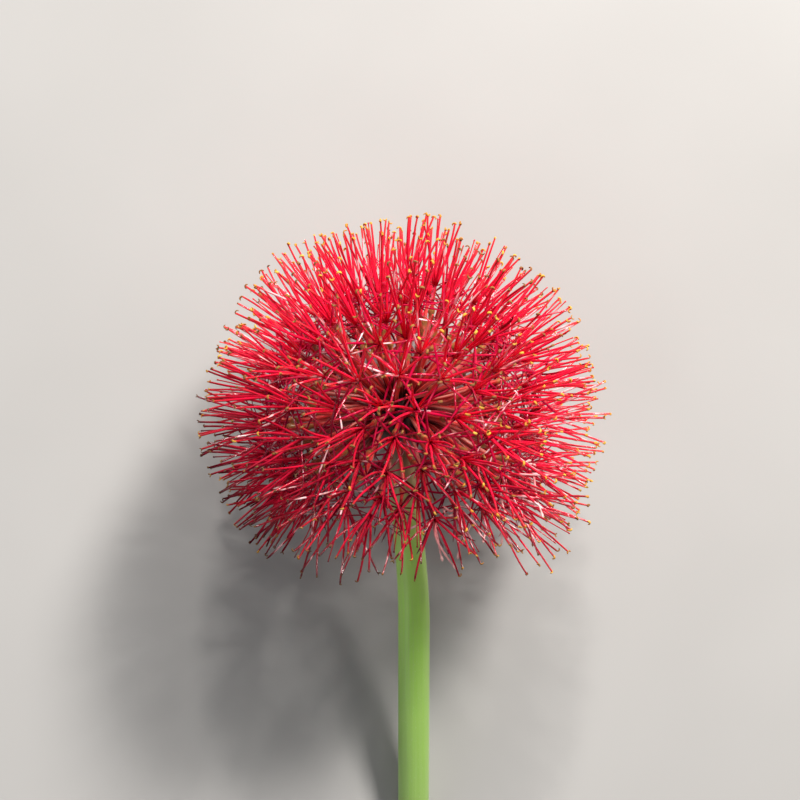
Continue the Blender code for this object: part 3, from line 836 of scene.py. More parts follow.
def strand_shape():
    """A wilted, shrunken strand, uneven along its length, with a small knob at its end."""
    profile = []
    high, turn = STRAND_BUMPS
    for ring in range(STRAND_RINGS):
        share = ring / STRAND_RINGS
        uneven = 1 + high * math.sin(ring * turn) + bulge(share, *STRAND_KNOB)
        profile.append((ORGAN_UNIT * share, STRAND_RADIUS * (1 - STRAND_TAPER * share) * uneven))
    profile.append((ORGAN_UNIT, STRAND_RADIUS * STRAND_END))
    return turned_shape("strand_shape", profile, THREAD_SIDES)


def tepal_shape():
    """A narrow tepal: a claw that widens into a channelled blade and narrows to a pointed, hooded tip."""
    shape = disc("tepal_shape", TEPAL_SIDES, TEPAL_WIDTH / 2)
    width, thickness = TEPAL_CLAW
    flat = (width, TEPAL_THICKNESS / TEPAL_WIDTH * thickness, 1)
    bpy.ops.transform.resize(value=flat, center_override=(0, 0, 0))
    height, thickness = 0.0, 1.0
    for share, wide, thick in TEPAL_RINGS:
        extrude_up(height, ORGAN_UNIT * share - height, wide / width, thick / thickness)
        height, width, thickness = ORGAN_UNIT * share, wide, thick
    bpy.ops.object.mode_set(mode="OBJECT")
    for vertex in shape.data.vertices:  # the blade's middle sinks into a channel between its edges
        across = abs(vertex.co.x) / (TEPAL_WIDTH / 2)
        blade = math.sin(math.pi * min(vertex.co.z / ORGAN_UNIT, 1))
        vertex.co.y += TEPAL_THICKNESS * TEPAL_CHANNEL * blade * (across - 0.5)
    bpy.ops.object.mode_set(mode="EDIT")
    return closed_shape(shape)


def anther_shape():
    """Two pollen sacs side by side, fixed by their middle and bent like a C over the filament's tip."""
    bpy.ops.object.select_all(action="DESELECT")
    bpy.ops.mesh.primitive_uv_sphere_add(segments=ANTHER_SIDES, ring_count=ANTHER_SIDES, radius=0.5)
    shape = edited(bpy.context.active_object, "anther_shape")
    size = (ANTHER_WIDTH, ANTHER_WIDTH * ANTHER_FLATNESS, ANTHER_LENGTH)
    bpy.ops.transform.resize(value=size, center_override=(0, 0, 0))
    bpy.ops.object.mode_set(mode="OBJECT")
    bend_radius = ANTHER_LENGTH / ANTHER_BEND
    half_width, half_length, thick = ANTHER_FURROW
    for vertex in shape.data.vertices:
        x, y, z = vertex.co
        if abs(x) < ANTHER_WIDTH * half_width and abs(z) < ANTHER_LENGTH * half_length:
            y *= thick
        x *= 1 + ANTHER_FULLNESS * (2 * z / ANTHER_LENGTH) ** 2
        turn = z / bend_radius
        out = bend_radius + y
        vertex.co = (x, out * math.cos(turn) - bend_radius, out * math.sin(turn))
    bpy.ops.object.mode_set(mode="EDIT")
    return closed_shape(shape)


def stem_profile(centre, up):
    """The stem from its bevelled cut to the top of the receptacle, as (height, radius)."""
    shoulder = RECEPTACLE_RADIUS * math.cos(RECEPTACLE_SHOULDER)
    wide = RECEPTACLE_RADIUS * math.sin(RECEPTACLE_SHOULDER)
    neck_top = SCAPE_LENGTH + shoulder - NECK_RISE
    profile = [(0.0, SCAPE_RADIUS - STEM_EDGE), (STEM_EDGE, SCAPE_RADIUS)]
    for ring in range(1, STEM_RINGS + 1):
        height = neck_top * ring / STEM_RINGS
        profile.append((height, scape_point(centre, up, SCAPE_LENGTH - height)[1]))
    neck = profile[-1][1]
    for step in range(1, NECK_RINGS):
        share = step / NECK_RINGS
        radius = neck + (wide - neck) * share * share * (3 - 2 * share)
        profile.append((neck_top + NECK_RISE * share, radius))
    for step in range(DOME_RINGS):
        polar = RECEPTACLE_SHOULDER * (1 - step / DOME_RINGS)
        height = SCAPE_LENGTH + RECEPTACLE_RADIUS * math.cos(polar)
        profile.append((height, RECEPTACLE_RADIUS * math.sin(polar)))
    return profile


def stem_shape(centre, up):
    """The stem standing straight, with the rim, sunken ring and raised pith of its cut."""
    shape = turned_shape("stem_shape", stem_profile(centre, up), STEM_SIDES)
    select_faces(shape, lambda face: face.center.z < SLIGHTLY and face.normal.z < -FACING)
    for width, rise in CUT_INSETS:
        inset_selected(width * MM, rise * MM)
    bpy.ops.mesh.poke()
    return closed_shape(shape)


# ------------------------------------------------------------------ bending copies along their lines


class Line:
    """A smooth line through points, with a frame that is carried along it without twist."""

    def __init__(self, points, first_side, smooth=0):
        points = np.array([tuple(p) for p in points])
        for _ in range(smooth):
            points[1:-1] = points[1:-1] / 2 + (points[:-2] + points[2:]) / 4
        steps = np.linalg.norm(np.diff(points, axis=0), axis=1)
        self.places = np.concatenate(([0], np.cumsum(steps)))
        self.length = self.places[-1]
        ways = unit(np.gradient(points, self.places, axis=0))
        sides = []
        side = np.array(tuple(first_side))
        for way in ways:
            side = side - way * (side @ way)
            side /= np.linalg.norm(side)
            sides.append(side)
        self.points, self.ways, self.sides = points, ways, np.array(sides)

    def at(self, places):
        """Points, directions and sides at the given lengths along the line."""
        found = [
            np.stack([np.interp(places, self.places, column) for column in rows.T], axis=1)
            for rows in (self.points, self.ways, self.sides)
        ]
        return found[0], unit(found[1]), unit(found[2])


class Look(NamedTuple):
    """How one organ differs from the next: tint and age from 0 to 1, a number of its own, and its skin. Its
    age is the depth of the painted shade on it.
    """

    tint: float
    age: float
    number: int
    finish: int = 0


class Bundle:
    """Copies of modelled shapes gathered into one mesh, each with the attributes that its skin reads.

    along runs from 0 at an organ's foot to 1 at its tip, tint and age come from its look, and grain is a
    place on the organ's own skin: round it, along it, and moved on for each organ.
    """

    def __init__(self):
        self.points, self.faces, self.finishes = [], [], []
        self.along, self.tint, self.age, self.grain = [], [], [], []
        self.count = 0

    def add(self, shape, points, along, grain, look):
        points[:, 2] += max(0, TOUCH - points[:, 2].min())
        self.points.append(points)
        self.faces += [[self.count + i for i in face] for face in shape["faces"]]
        self.finishes += [look.finish] * len(shape["faces"])
        self.along.append(along)
        self.tint.append(np.full(len(points), look.tint))
        self.age.append(np.full(len(points), look.age))
        self.grain.append(grain + np.array((0, look.number * GRAIN_APART, 0)))
        self.count += len(points)

    def bend(self, shape, line, places, look, wide=1.0):
        """Adds a copy of a straight shape, bent so that each height on it comes to its own place."""
        co = shape["co"]
        on, way, side = line.at(places)
        up = np.cross(way, side)
        points = on + side * co[:, 0:1] * wide + up * co[:, 1:2] * wide
        grain = np.stack([co[:, 0] / MM, co[:, 1] / MM, places / MM], axis=1)
        self.add(shape, points, co[:, 2] / co[:, 2].max(), grain, look)

    def put(self, shape, place, turn, along, look, size):
        """Adds a copy of a shape as it is, turned and set in place."""
        points = shape["co"] @ (np.array(turn).T * size) + np.array(place)
        self.add(shape, points, along, shape["co"] / MM, look)

    def piece(self, name, finishes, offset):
        """The bundle as one object at the origin, with its place in its mesh."""
        mesh = bpy.data.meshes.new(name)
        points = np.concatenate(self.points) + np.array(tuple(offset))
        mesh.from_pydata(points.tolist(), [], self.faces)
        for finish in finishes:
            mesh.materials.append(finish)
        mesh.polygons.foreach_set("material_index", self.finishes)
        for attribute, values, kind in (
            ("along", self.along, "FLOAT"),
            ("tint", self.tint, "FLOAT"),
            ("age", self.age, "FLOAT"),
            ("grain", self.grain, "FLOAT_VECTOR"),
        ):
            data = mesh.attributes.new(attribute, kind, "POINT").data
            values = np.concatenate(values).astype(np.float32).ravel()
            data.foreach_set("value" if kind == "FLOAT" else "vector", values)
        mesh.shade_smooth()
        made = bpy.data.objects.new(name, mesh)
        bpy.context.scene.collection.objects.link(made)
        return made


def pattern_of(shape):
    """A modelled shape's points and faces, and the shape itself cleared away."""
    mesh = shape.data
    co = np.array([v.co[:] for v in mesh.vertices])
    faces = [list(p.vertices) for p in mesh.polygons]
    bpy.data.objects.remove(shape)
    bpy.data.meshes.remove(mesh)
    return {"co": co, "faces": faces}


def add_stalk(bundle, flower, shape, look):
    """A flower's pedicel, ovary and tube along its spine. Only the pedicel stretches with its length."""
    axis, foot_way = flower["axis"], flower["foot_way"]
    tube_base = flower["throat"] - axis * TUBE_LENGTH
    ovary_base = tube_base - axis * OVARY_LENGTH
    foot = flower["foot"] + flower["foot_side"] * FOOT_RADIUS
    start = foot + foot_way * FOOT_HEIGHT
    points = [foot]
    for step in range(STALK_STEPS + 1):
        points.append(curve_point(start, foot_way, ovary_base, axis, step / STALK_STEPS))
    points += [tube_base, flower["throat"]]
    line = Line(points, flower["side"])
    heights = shape["co"][:, 2]
    top = line.length - OVARY_LENGTH - TUBE_LENGTH
    stretched = heights * top / STALK_PEDICEL
    places = np.where(heights < STALK_PEDICEL, stretched, heights + top - STALK_PEDICEL)
    bundle.bend(shape, line, places, look)


def wavering(rng, path, sway, sag=0):
    """The path with a gentle wander to one side and another and a bend downwards, none at its foot."""
    way = (path[-1] - path[0]).normalized()
    side = turned_at_random(rng, way.orthogonal().normalized(), way)
    across = way.cross(side)
    phase, turns = rng.uniform(0, 2 * math.pi), rng.uniform(*SWAY_TURN)
    points = []
    for step, point in enumerate(path):
        share = step / (len(path) - 1)
        angle = phase + turns * share
        off = side * (math.cos(angle) - math.cos(phase)) + across * (math.sin(angle) - math.sin(phase))
        bent = Vector((0, -sag * share * share * (1 - abs(way.y)), 0))
        points.append(point + off * (sway * share) + bent)
    return points


def path_side(path, axis):
    """The direction across an organ and across its flower's axis, which a tepal's width follows."""
    side = (path[1] - path[0]).cross(axis)
    return side.normalized() if side.length > NO_LENGTH else axis.orthogonal().normalized()


def add_along(bundle, line, shape, look, wide=1.0):
    """A shape as long as ORGAN_UNIT, stretched or squeezed to the length of a line and bent along it."""
    bundle.bend(shape, line, shape["co"][:, 2] * (line.length / ORGAN_UNIT), look, wide)


def add_organ(bundle, flower, shape, path, look, wide=1.0):
    """A tepal, filament or style along its path, with its flat inner side towards the flower's axis."""
    line = Line(path, path_side(path, flower["axis"]), smooth=ORGAN_SMOOTHING)
    add_along(bundle, line, shape, look, wide)
    return line


def add_anther(bundle, rng, line, shape, look):
    """An anther held near its middle across the tip of its filament, its ends bent back or forward."""
    way = Vector(line.ways[-1])
    across = turned_at_random(rng, Vector(line.sides[-1]), way)
    lean = math.radians(rng.uniform(-ANTHER_LEAN, ANTHER_LEAN))
    long_way = across * math.cos(lean) + way * math.sin(lean)
    side = long_way.cross(way).normalized()
    flip = 1 if rng.random() < ANTHERS_BENT_BACK else -1
    turn = Matrix((side * flip, side.cross(long_way) * flip, long_way)).transposed()
    size = rng.uniform(*ANTHER_SIZES) * (1 - ANTHER_SHRINKAGE * look.age)
    bend_radius = ANTHER_LENGTH / ANTHER_BEND
    held = rng.uniform(-ANTHER_HOLD, ANTHER_HOLD) * ANTHER_BEND
    hold = Vector((0, math.cos(held) - 1, math.sin(held))) * (bend_radius * size)
    off_middle = np.hypot(shape["co"][:, 1] + bend_radius, shape["co"][:, 2]) - bend_radius
    outer = np.clip(0.5 + off_middle / (ANTHER_WIDTH * ANTHER_FLATNESS), 0, 1)
    bundle.put(shape, Vector(line.points[-1]) - turn @ hold, turn, outer, look, size)


def add_strand(bundle, rng, flower, shape, look):
    """A wilted strand that hangs from a flower's mouth, some nearly straight and some curly."""
    down = Vector((rng.uniform(*STRAND_ASIDE), -1, rng.uniform(*STRAND_UP)))
    way = (flower["axis"] * STRAND_OUT + down).normalized()
    points = [flower["throat"]]
    curl = rng.choice(STRAND_CURLS)
    turn_axis = Vector([rng.gauss(0, 1) for _ in range(3)]).normalized()
    for _ in range(rng.randrange(*STRAND_STEPS)):
        turn_axis = (turn_axis + Vector([rng.gauss(0, STRAND_WANDER) for _ in range(3)])).normalized()
        way.rotate(Matrix.Rotation(curl, 3, turn_axis))
        way = (way + STRAND_DROOP).normalized()
        points.append(points[-1] + way * STRAND_STEP)
    add_along(bundle, Line(points, STRAND_SIDE, smooth=STRAND_SMOOTHING), shape, look)


def cut_scape(offset):
    """The stem with the receptacle it swells into, ribbed, and bent along its line.

    The faces of its cut have the second of its finishes, the pith's.
    """
    up = head_to_table().col[2]
    centre = Vector((0, 0, HEAD_HEIGHT)) + offset
    shape = pattern_of(stem_shape(centre, up))
    co = shape["co"]
    shares = [1 - step / STEM_STEPS for step in range(STEM_STEPS + 1)]
    points = [scape_point(centre, up, SCAPE_LENGTH * share)[0] for share in shares]
    points.append(centre + up * (RECEPTACLE_RADIUS * STEM_LINE_END))
    around = np.arctan2(co[:, 1], co[:, 0])
    (few, high, start), (many, low, twist) = COARSE_RIBS, FINE_RIBS
    ribs = 1 + high * np.sin(around * few + start) + low * np.sin(around * many + co[:, 2] / twist)
    co[:, :2] *= ribs[:, None]
    bundle = Bundle()
    bundle.bend(shape, Line(points, Vector((1, 0, 0))), co[:, 2], Look(0.5, 0, 0))
    bundle.finishes = [int(all(co[i, 2] < CUT_DEPTH for i in face)) for face in shape["faces"]]
    return bundle


# ------------------------------------------------------------------ skins


class Skin:
    """A material in the making: its nodes, its shader, and the colour that it has so far."""

    def __init__(self, name, roughness):
        self.material = bpy.data.materials.new(name)
        self.material.use_nodes = True
        self.tree = self.material.node_tree
        self.shader = self.tree.nodes["Principled BSDF"]
        self.set("Roughness", roughness)
        self.colour = None

    def set(self, socket, value):
        self.shader.inputs[socket].default_value = value

    def join(self, source, socket):
        self.tree.links.new(source, self.shader.inputs[socket])

    def node(self, kind, links=(), values=(), **settings):
        """A new node. links and values pair its inputs with the sockets that feed them, or plain values."""
        made = self.tree.nodes.new(kind)
        for name, value in settings.items():
            setattr(made, name, value)
        for name, value in values:
            made.inputs[name].default_value = value
        for name, source in links:
            self.tree.links.new(source, made.inputs[name])
        return made

    def value(self, name):
        """One of the values that the organs carry."""
        return self.node("ShaderNodeAttribute", attribute_name=name).outputs["Fac"]

    def grain(self):
        """The place on an organ's own skin."""
        return self.node("ShaderNodeAttribute", attribute_name="grain").outputs["Vector"]

    def noise(self, place, scale, detail):
        values = (("Scale", scale), ("Detail", detail))
        return self.node("ShaderNodeTexNoise", [("Vector", place)], values).outputs["Fac"]

    def streaks(self, stretch, scale, detail=3):
        """Noise on an organ's own skin, drawn out along it."""
        values = [("Scale", (1, 1, stretch))]
        mapping = self.node("ShaderNodeMapping", [("Vector", self.grain())], values)
        return self.noise(mapping.outputs["Vector"], scale, detail)

    def blotches(self, scale, detail=2):
        """Noise in the object's own space, in blotches of about 1 / scale metres."""
        return self.noise(self.node("ShaderNodeTexCoord").outputs["Object"], scale, detail)

    def spread(self, source, low, high, to_low, to_high):
        """A value mapped from one range to another and kept inside it."""
        ranges = (("From Min", low), ("From Max", high), ("To Min", to_low), ("To Max", to_high))
        return self.node("ShaderNodeMapRange", [("Value", source)], ranges).outputs["Result"]

    def product(self, first, second):
        """Two values multiplied."""
        links = ((0, first), (1, second))
        return self.node("ShaderNodeMath", links, operation="MULTIPLY").outputs[0]

    def ramp(self, source, stops):
        """Colours along a value, as (place, colour) stops."""
        made = self.node("ShaderNodeValToRGB", [("Fac", source)])
        stops = [(place, (*colour, 1)) for place, colour in stops]
        bar = made.color_ramp
        bar.elements[0].position, bar.elements[0].color = stops[0]
        bar.elements[1].position, bar.elements[1].color = stops[-1]
        for place, colour in stops[1:-1]:
            bar.elements.new(place).color = colour
        return made.outputs["Color"]

    def mixed(self, share, first, second):
        """Two colours mixed by a share. Each colour is a socket or a plain one."""
        made = self.node("ShaderNodeMix", [(0, share)], data_type="RGBA")
        for socket, colour in ((6, first), (7, second)):
            if isinstance(colour, bpy.types.NodeSocket):
                self.tree.links.new(colour, made.inputs[socket])
            else:
                made.inputs[socket].default_value = (*colour, 1)
        return made.outputs[2]

    def tinge(self, share, colour):
        """Mixes another colour into the one it has so far."""
        self.colour = self.mixed(share, self.colour, colour)

    def bump(self, source, depth, strength=GRAINY, socket="Normal"):
        """Raises the skin, or only the coat over it, by a value."""
        values = (("Strength", strength), ("Distance", depth))
        self.join(self.node("ShaderNodeBump", [("Height", source)], values).outputs["Normal"], socket)

    def finish(self, streak, rough):
        """Joins the colour to the shader, with its roughness varied along the streaks."""
        self.join(self.colour, "Base Color")
        self.join(self.spread(streak, 0.3, 0.7, rough - SMOOTHER, rough + ROUGHER), "Roughness")

    def moisten(self, glow, glow_colour, shine=0.3, coat=0.06):
        """Living tissue: light sinks in a little under a thin skin, which shines more or less."""
        self.set("Subsurface Weight", glow)
        self.set("Subsurface Radius", glow_colour)
        self.set("Subsurface Scale", GLOW_DEPTH)
        self.set("Coat Weight", coat)
        self.set("Coat Roughness", COAT_ROUGHNESS)
        self.set("Coat IOR", COAT_IOR)
        self.set("Specular IOR Level", shine)


def red_skin(name, reds, dark_reds, rough, highlight_from):
    """The red of tepals or filaments, from foot to tip. It differs between organs at random, and the age
    attribute darkens it as painted shade.

    Organs with a tint above the given threshold have painted highlights: pale pink stretches, short of
    their tips.
    Those of the brighter half have a gloss that glints at scattered places.
    """
    skin = Skin(name, rough)
    along, tint, age = skin.value("along"), skin.value("tint"), skin.value("age")
    streak = skin.streaks(0.12, 1.6)
    foot, middle, tip = reds
    dark_foot, dark_tip = dark_reds
    young = skin.ramp(along, [(0.0, foot), (0.22, middle), (0.7, middle), (1.0, tip)])
    dark_ramp = skin.ramp(along, [(0.0, dark_foot), (0.5, dark_foot), (1.0, dark_tip)])
    skin.colour = young
    skin.tinge(skin.spread(streak, 0.35, 0.75, 0.0, 0.25), tip)
    skin.tinge(skin.spread(tint, 0.0, 0.8, 0.55, 0.0), dark_ramp)
    skin.tinge(skin.spread(skin.blotches(55), 0.45, 0.7, 0.0, 0.25), dark_foot)
    # painted shade: the age attribute darkens the organs low on the head and towards its lower left
    skin.tinge(age, dark_ramp)
    # painted highlights: pale pink patches along the organs, short of their tips
    highlight_patches = skin.spread(skin.streaks(0.18, 0.7, detail=1), 0.55, 0.61, 0.0, 0.92)
    highlight_patches = skin.product(highlight_patches, skin.spread(along, 0.8, 0.92, 1.0, 0.0))
    highlighted = skin.spread(tint, highlight_from, highlight_from + 0.03, 0.0, 1.0)
    skin.tinge(skin.product(highlight_patches, highlighted), HIGHLIGHT_PINK)
    skin.finish(streak, rough)
    skin.bump(streak, 0.05 * MM)
    skin.moisten(0.2, (1.0, 0.18, 0.1), shine=0.04)
    skin.join(skin.spread(tint, 0.45, 0.55, 0.0, 1.0), "Coat Weight")
    skin.bump(skin.streaks(0.3, 0.8, detail=1), 1.0 * MM, 1.0, "Coat Normal")
    return skin.material


def stalk_skin():
    """Pedicels of dull red over green with painted pink highlights, darkened by painted shade at their
    feet, at random and low on the head; olive ovaries, and crimson tubes.
    """
    skin = Skin("stalk_skin", 0.4)
    along, tint = skin.value("along"), skin.value("tint")
    streak = skin.streaks(0.1, 1.3)
    skin.colour = skin.ramp(along, STALK_COLOURS)
    above_foot = skin.spread(along, 0.2, 0.3, 0.0, 1.0)
    pedicel = skin.product(above_foot, skin.spread(along, 0.45, 0.75, 1.0, 0.0))
    skin.tinge(skin.product(skin.spread(streak, 0.46, 0.7, 0.0, 0.35), pedicel), STALK_GREEN)
    # painted highlights: pale pink streaks along the pedicels
    pale = skin.spread(skin.streaks(0.03, 0.35), 0.50, 0.60, 0.0, 0.85)
    skin.tinge(skin.product(pale, pedicel), STALK_HIGHLIGHT_PINK)
    # painted shade: stalks with a low tint are darkened, more of them low on the head
    skin.tinge(skin.spread(tint, 0.0, 0.7, 0.75, 0.0), STALK_PAINTED_SHADE)
    skin.finish(streak, 0.34)
    skin.bump(streak, 0.08 * MM)
    skin.moisten(0.15, (1.0, 0.25, 0.12), coat=0.15)
    return skin.material


def pollen_skin():
    """Yellow-orange pollen, darker on the inside of each anther's bend, and a few anthers that have shed it
    all; those low on the head are darkened as painted shade.
    """
    skin = Skin("pollen_skin", 0.75)
    tint, age, outer = skin.value("tint"), skin.value("age"), skin.value("along")
    grains = skin.streaks(1.0, 9.0, detail=2)
    skin.colour = skin.ramp(tint, POLLEN_COLOURS)
    # darker on the inside of each anther's bend
    skin.tinge(skin.spread(outer, 0.05, 0.42, 0.85, 0.0), BEND_INSIDE_DARK)
    skin.tinge(skin.spread(grains, 0.4, 0.65, 0.3, 0.0), POLLEN_ORANGE)
    # painted shade: anthers low on the head and towards its left are darkened
    skin.tinge(skin.spread(age, 0.3, 1.0, 0.0, 0.9), SHADED_ANTHER)
    skin.finish(grains, 0.7)
    skin.bump(grains, 0.12 * MM, 0.9)
    return skin.material


def wilted_skin():
    """Strands of wilted petal, paled to a dull pink."""
    skin = Skin("wilted_skin", 0.6)
    streak = skin.streaks(0.3, 2.0)
    skin.colour = skin.ramp(skin.value("along"), WILTED_COLOURS)
    skin.tinge(skin.spread(streak, 0.4, 0.7, 0.0, 0.4), WILTED_RED)
    skin.finish(streak, 0.5)
    return skin.material


def scape_skin():
    """The stem's smooth green, painted paler just below the head and darker towards the cut and into the
    head as painted light and shade, with faint paler lines along it and a few lighter flecks.
    """
    skin = Skin("scape_skin", 0.4)
    along = skin.value("along")
    streak = skin.streaks(0.02, 0.9, detail=4)
    flecks = skin.streaks(0.35, 2.4, detail=1)
    # painted light and shade along the stem, from the ramp's colours
    skin.colour = skin.ramp(along, SCAPE_COLOURS)
    bare = skin.spread(along, 0.62, 0.8, 1.0, 0.0)
    skin.tinge(skin.product(skin.spread(streak, 0.35, 0.65, 0.0, 0.35), bare), SCAPE_LINE)
    skin.tinge(skin.product(skin.spread(flecks, 0.66, 0.74, 0.0, 0.3), bare), SCAPE_FLECK)
    skin.tinge(skin.product(skin.spread(skin.blotches(28), 0.4, 0.7, 0.0, 0.15), bare), SCAPE_BLOTCH)
    skin.finish(streak, 0.4)
    skin.bump(streak, 0.12 * MM, 0.5)
    skin.moisten(0.15, (0.5, 1.0, 0.2))
    skin.set("Sheen Weight", 0.35)
    skin.set("Sheen Roughness", 0.3)
    return skin.material


def pith_skin():
    """The wet cut through the stem: pale pith dotted with the ends of its strands."""
    skin = Skin("pith_skin", 0.45)
    links = [("Vector", skin.grain())]
    dots = skin.node("ShaderNodeTexVoronoi", links, [("Scale", 0.85)], feature="F1")
    grains = skin.streaks(1.0, 3.0)
    skin.colour = skin.mixed(skin.spread(grains, 0.3, 0.7, 0.0, 0.6), PITH_PALE, PITH_GREEN)
    skin.tinge(skin.spread(dots.outputs["Distance"], 0.12, 0.3, 0.75, 0.0), PITH_DOT)
    skin.finish(grains, 0.42)
    skin.bump(grains, 0.15 * MM)
    skin.moisten(0.15, (0.8, 1.0, 0.4))
    return skin.material


# ------------------------------------------------------------------ the flower on its table


def painted_shade_of(flower):
    """How deep the painted shade on a flower is, from 0 at the crown to 1 low down, deepest towards the
    head's lower left.
    """
    up = Vector((math.sin(PAINTED_SHADE_LEAN), math.cos(PAINTED_SHADE_LEAN), 0))
    way = (flower["throat"] - Vector((0, 0, HEAD_HEIGHT))).normalized()
    return age_at(way, up, PAINTED_SHADE_FROM, PAINTED_SHADE_TO)


def flowers_with_strands(flowers):
    """The few flowers on which wilted strands are caught: those that stand nearest to some directions."""
    found = set()
    for way in STRAND_WAYS:
        target = Vector((0, 0, HEAD_HEIGHT)) + Vector(way).normalized() * THROAT_DISTANCE
        nearest = sorted(flowers, key=lambda flower: (flower["throat"] - target).length)
        found.update(flower["index"] for flower in nearest[:STRAND_FLOWERS])
    return found


def grow_flower(bundles, rng, flower, shapes):
    """One flower: its stalk, six tepals, six stamens and style, each a little different from the next."""
    # how deep the painted shade on this flower is; its organs are also made thinner by it
    age = painted_shade_of(flower)

    def organ_shade():
        return min(1, age * rng.uniform(*ORGAN_SHADES))

    mood = rng.random()
    on_top = max(0, flower["axis"].z)
    # how squarely the flower faces the side with the most painted highlights
    highlighted = max(0, flower["axis"].dot(Vector(HIGHLIGHT_WAY).normalized())) ** 3
    shed = rng.random() < SHED_SHARE + (SHED_SHARE_ON_TOP - SHED_SHARE) * on_top
    wide = 1 - (1 - OLD_THINNESS) * age
    # anthers are painted darker towards the head's left, away from the key light: painted shade
    to_right = flower["throat"].x / THROAT_DISTANCE
    anther_shade = max(0, min(1, ANTHER_SHADE - ANTHER_SHADE_TO_RIGHT * to_right))
    number = flower["index"] * ORGANS_EACH
    # the stalk's tint drops with the painted shade, which darkens it
    look = Look(rng.random() * (1 - SHADED_STALK_TINT * age), age, number)
    add_stalk(bundles["stalks"], flower, shapes["stalk"], look)
    petals = bundles["petals"]
    for organ, path in enumerate(flower["tepals"], number + FIRST_TEPAL):
        look = Look(rng.random(), organ_shade(), organ, TEPAL_FINISH)
        path = wavering(rng, path, TEPAL_SWAY)
        add_organ(petals, flower, shapes["tepal"], path, look, wide * rng.uniform(*TEPAL_WIDTHS))
    for organ, path in enumerate(flower["filaments"], number + FIRST_FILAMENT):
        # on the side with the most painted highlights the tint is pushed up: more highlights, less
        # darkening
        tint = ((rng.random() + mood) / 2) ** (1 - HIGHLIGHT_PUSH * highlighted)
        look = Look(tint, organ_shade(), organ, FILAMENT_FINISH)
        sag = SAG * rng.uniform(*SAG_SCATTER)
        path = wavering(rng, path, FILAMENT_SWAY, sag)
        line = add_organ(petals, flower, shapes["filament"], path, look, wide)
        pollen = rng.uniform(*(SHED_POLLEN if shed else FRESH_POLLEN))
        look = Look(pollen, look.age * anther_shade, organ)
        add_anther(bundles["anthers"], rng, line, shapes["anther"], look)
    look = Look(mood, age, number + STYLE, FILAMENT_FINISH)
    add_organ(petals, flower, shapes["style"], flower["style"], look, wide)


def grow_flowers(offset):
    """Every flower's fine pieces, cyme by cyme, in place of the cyme's solid."""
    flowers = place_flowers()
    add_styles(flowers)
    shapes = {
        "stalk": pattern_of(stalk_shape()),
        "tepal": pattern_of(tepal_shape()),
        "filament": pattern_of(filament_shape()),
        "style": pattern_of(style_shape()),
        "anther": pattern_of(anther_shape()),
        "strand": pattern_of(strand_shape()),
    }
    tepal_red = red_skin("tepal_red", TEPAL_REDS, DARK_TEPAL_REDS, 0.26, 0.80)
    filament_red = red_skin("filament_red", FILAMENT_REDS, DARK_FILAMENT_REDS, 0.24, 0.66)
    petal_skins = [tepal_red, filament_red, wilted_skin()]
    skins = {"stalks": [stalk_skin()], "petals": petal_skins, "anthers": [pollen_skin()]}
    rng = random.Random(LOOKS_SEED)
    draped = flowers_with_strands(flowers)
    for cyme in range(CYME_COUNT):
        bundles = {name: Bundle() for name in skins}
        for flower in flowers[cyme * FLOWERS_IN_CYME : (cyme + 1) * FLOWERS_IN_CYME]:
            grow_flower(bundles, rng, flower, shapes)
            if flower["index"] in draped:
                for _ in range(STRANDS_EACH):
                    look = Look(rng.random(), 0, rng.randrange(1000), STRAND_FINISH)
                    add_strand(bundles["petals"], rng, flower, shapes["strand"], look)
        for name, slot in (
            ("stalks", "pedicel_skin"),
            ("petals", "red_flower"),
            ("anthers", "yellow_anther"),
        ):
            piece = bundles[name].piece(f"flower_{name}_{cyme + 1:02d}", skins[name], offset)
            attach(piece, "root")
            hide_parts(f"flower_cyme_{cyme + 1:02d}")


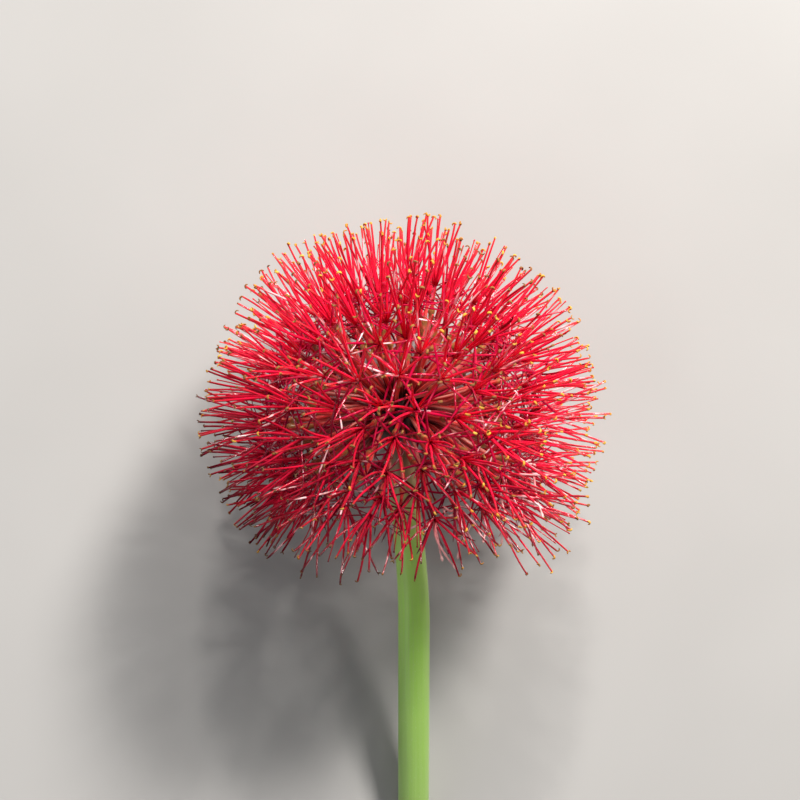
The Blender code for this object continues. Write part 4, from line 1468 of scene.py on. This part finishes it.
def grow_scape(offset):
    """The stem in place of its solid. Its points already lie where they belong."""
    piece = cut_scape(offset).piece("cut_scape", [scape_skin(), pith_skin()], Vector((0, 0, 0)))
    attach(piece, "root")
    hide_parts("scape")


def add_table():
    """The plain pale floor that the flower lies on."""
    bpy.ops.object.select_all(action="DESELECT")
    bpy.ops.mesh.primitive_plane_add(size=TABLE_SIZE)
    table = bpy.context.active_object
    table.name = "pale_table"
    skin = Skin("pale_table", 0.6)
    skin.join(skin.mixed(skin.spread(skin.blotches(9), 0.3, 0.7, 0.0, 1.0), *TABLE_GREYS), "Base Color")
    table.data.materials.append(skin.material)


def add_light(name, aim, way, distance, size, power, colour):
    """A round, soft light that shines on a point from a direction."""
    data = bpy.data.lights.new(name, "AREA")
    data.shape = "DISK"
    data.size = size
    data.energy = power
    data.color = colour
    light = bpy.data.objects.new(name, data)
    bpy.context.scene.collection.objects.link(light)
    way = Vector(way).normalized()
    light.location = aim + way * distance
    light.rotation_mode = "QUATERNION"
    light.rotation_quaternion = way.to_track_quat("Z", "Y")


def add_surround():
    """The pale surround that lights the flower from all sides."""
    world = bpy.data.worlds.new("surround")
    bpy.context.scene.world = world
    world.use_nodes = True
    ground = world.node_tree.nodes["Background"]
    ground.inputs["Color"].default_value = SURROUND_COLOUR
    ground.inputs["Strength"].default_value = SURROUND_STRENGTH


def add_camera(aim):
    """Looks straight down on the lying flower, with the head's centre a little under the view's middle."""
    data = bpy.data.cameras.new("camera")
    data.lens = CAMERA_LENS
    data.sensor_width = CAMERA_SENSOR
    camera = bpy.data.objects.new("camera", data)
    bpy.context.scene.collection.objects.link(camera)
    distance = VIEW_WIDTH * CAMERA_LENS / CAMERA_SENSOR
    camera.location = aim + Vector((0, HEAD_BELOW_MIDDLE, distance))
    bpy.context.scene.camera = camera


def main():
    offset = head_place()
    aim = offset + Vector((0, 0, HEAD_HEIGHT))
    grow_flowers(offset)
    grow_scape(offset)
    add_table()
    for name, *settings in LIGHTS:
        add_light(name, aim, *settings)
    add_surround()
    add_camera(aim)
    bpy.context.scene.view_settings.view_transform = "Standard"


main()
bpy.context.view_layer.update()
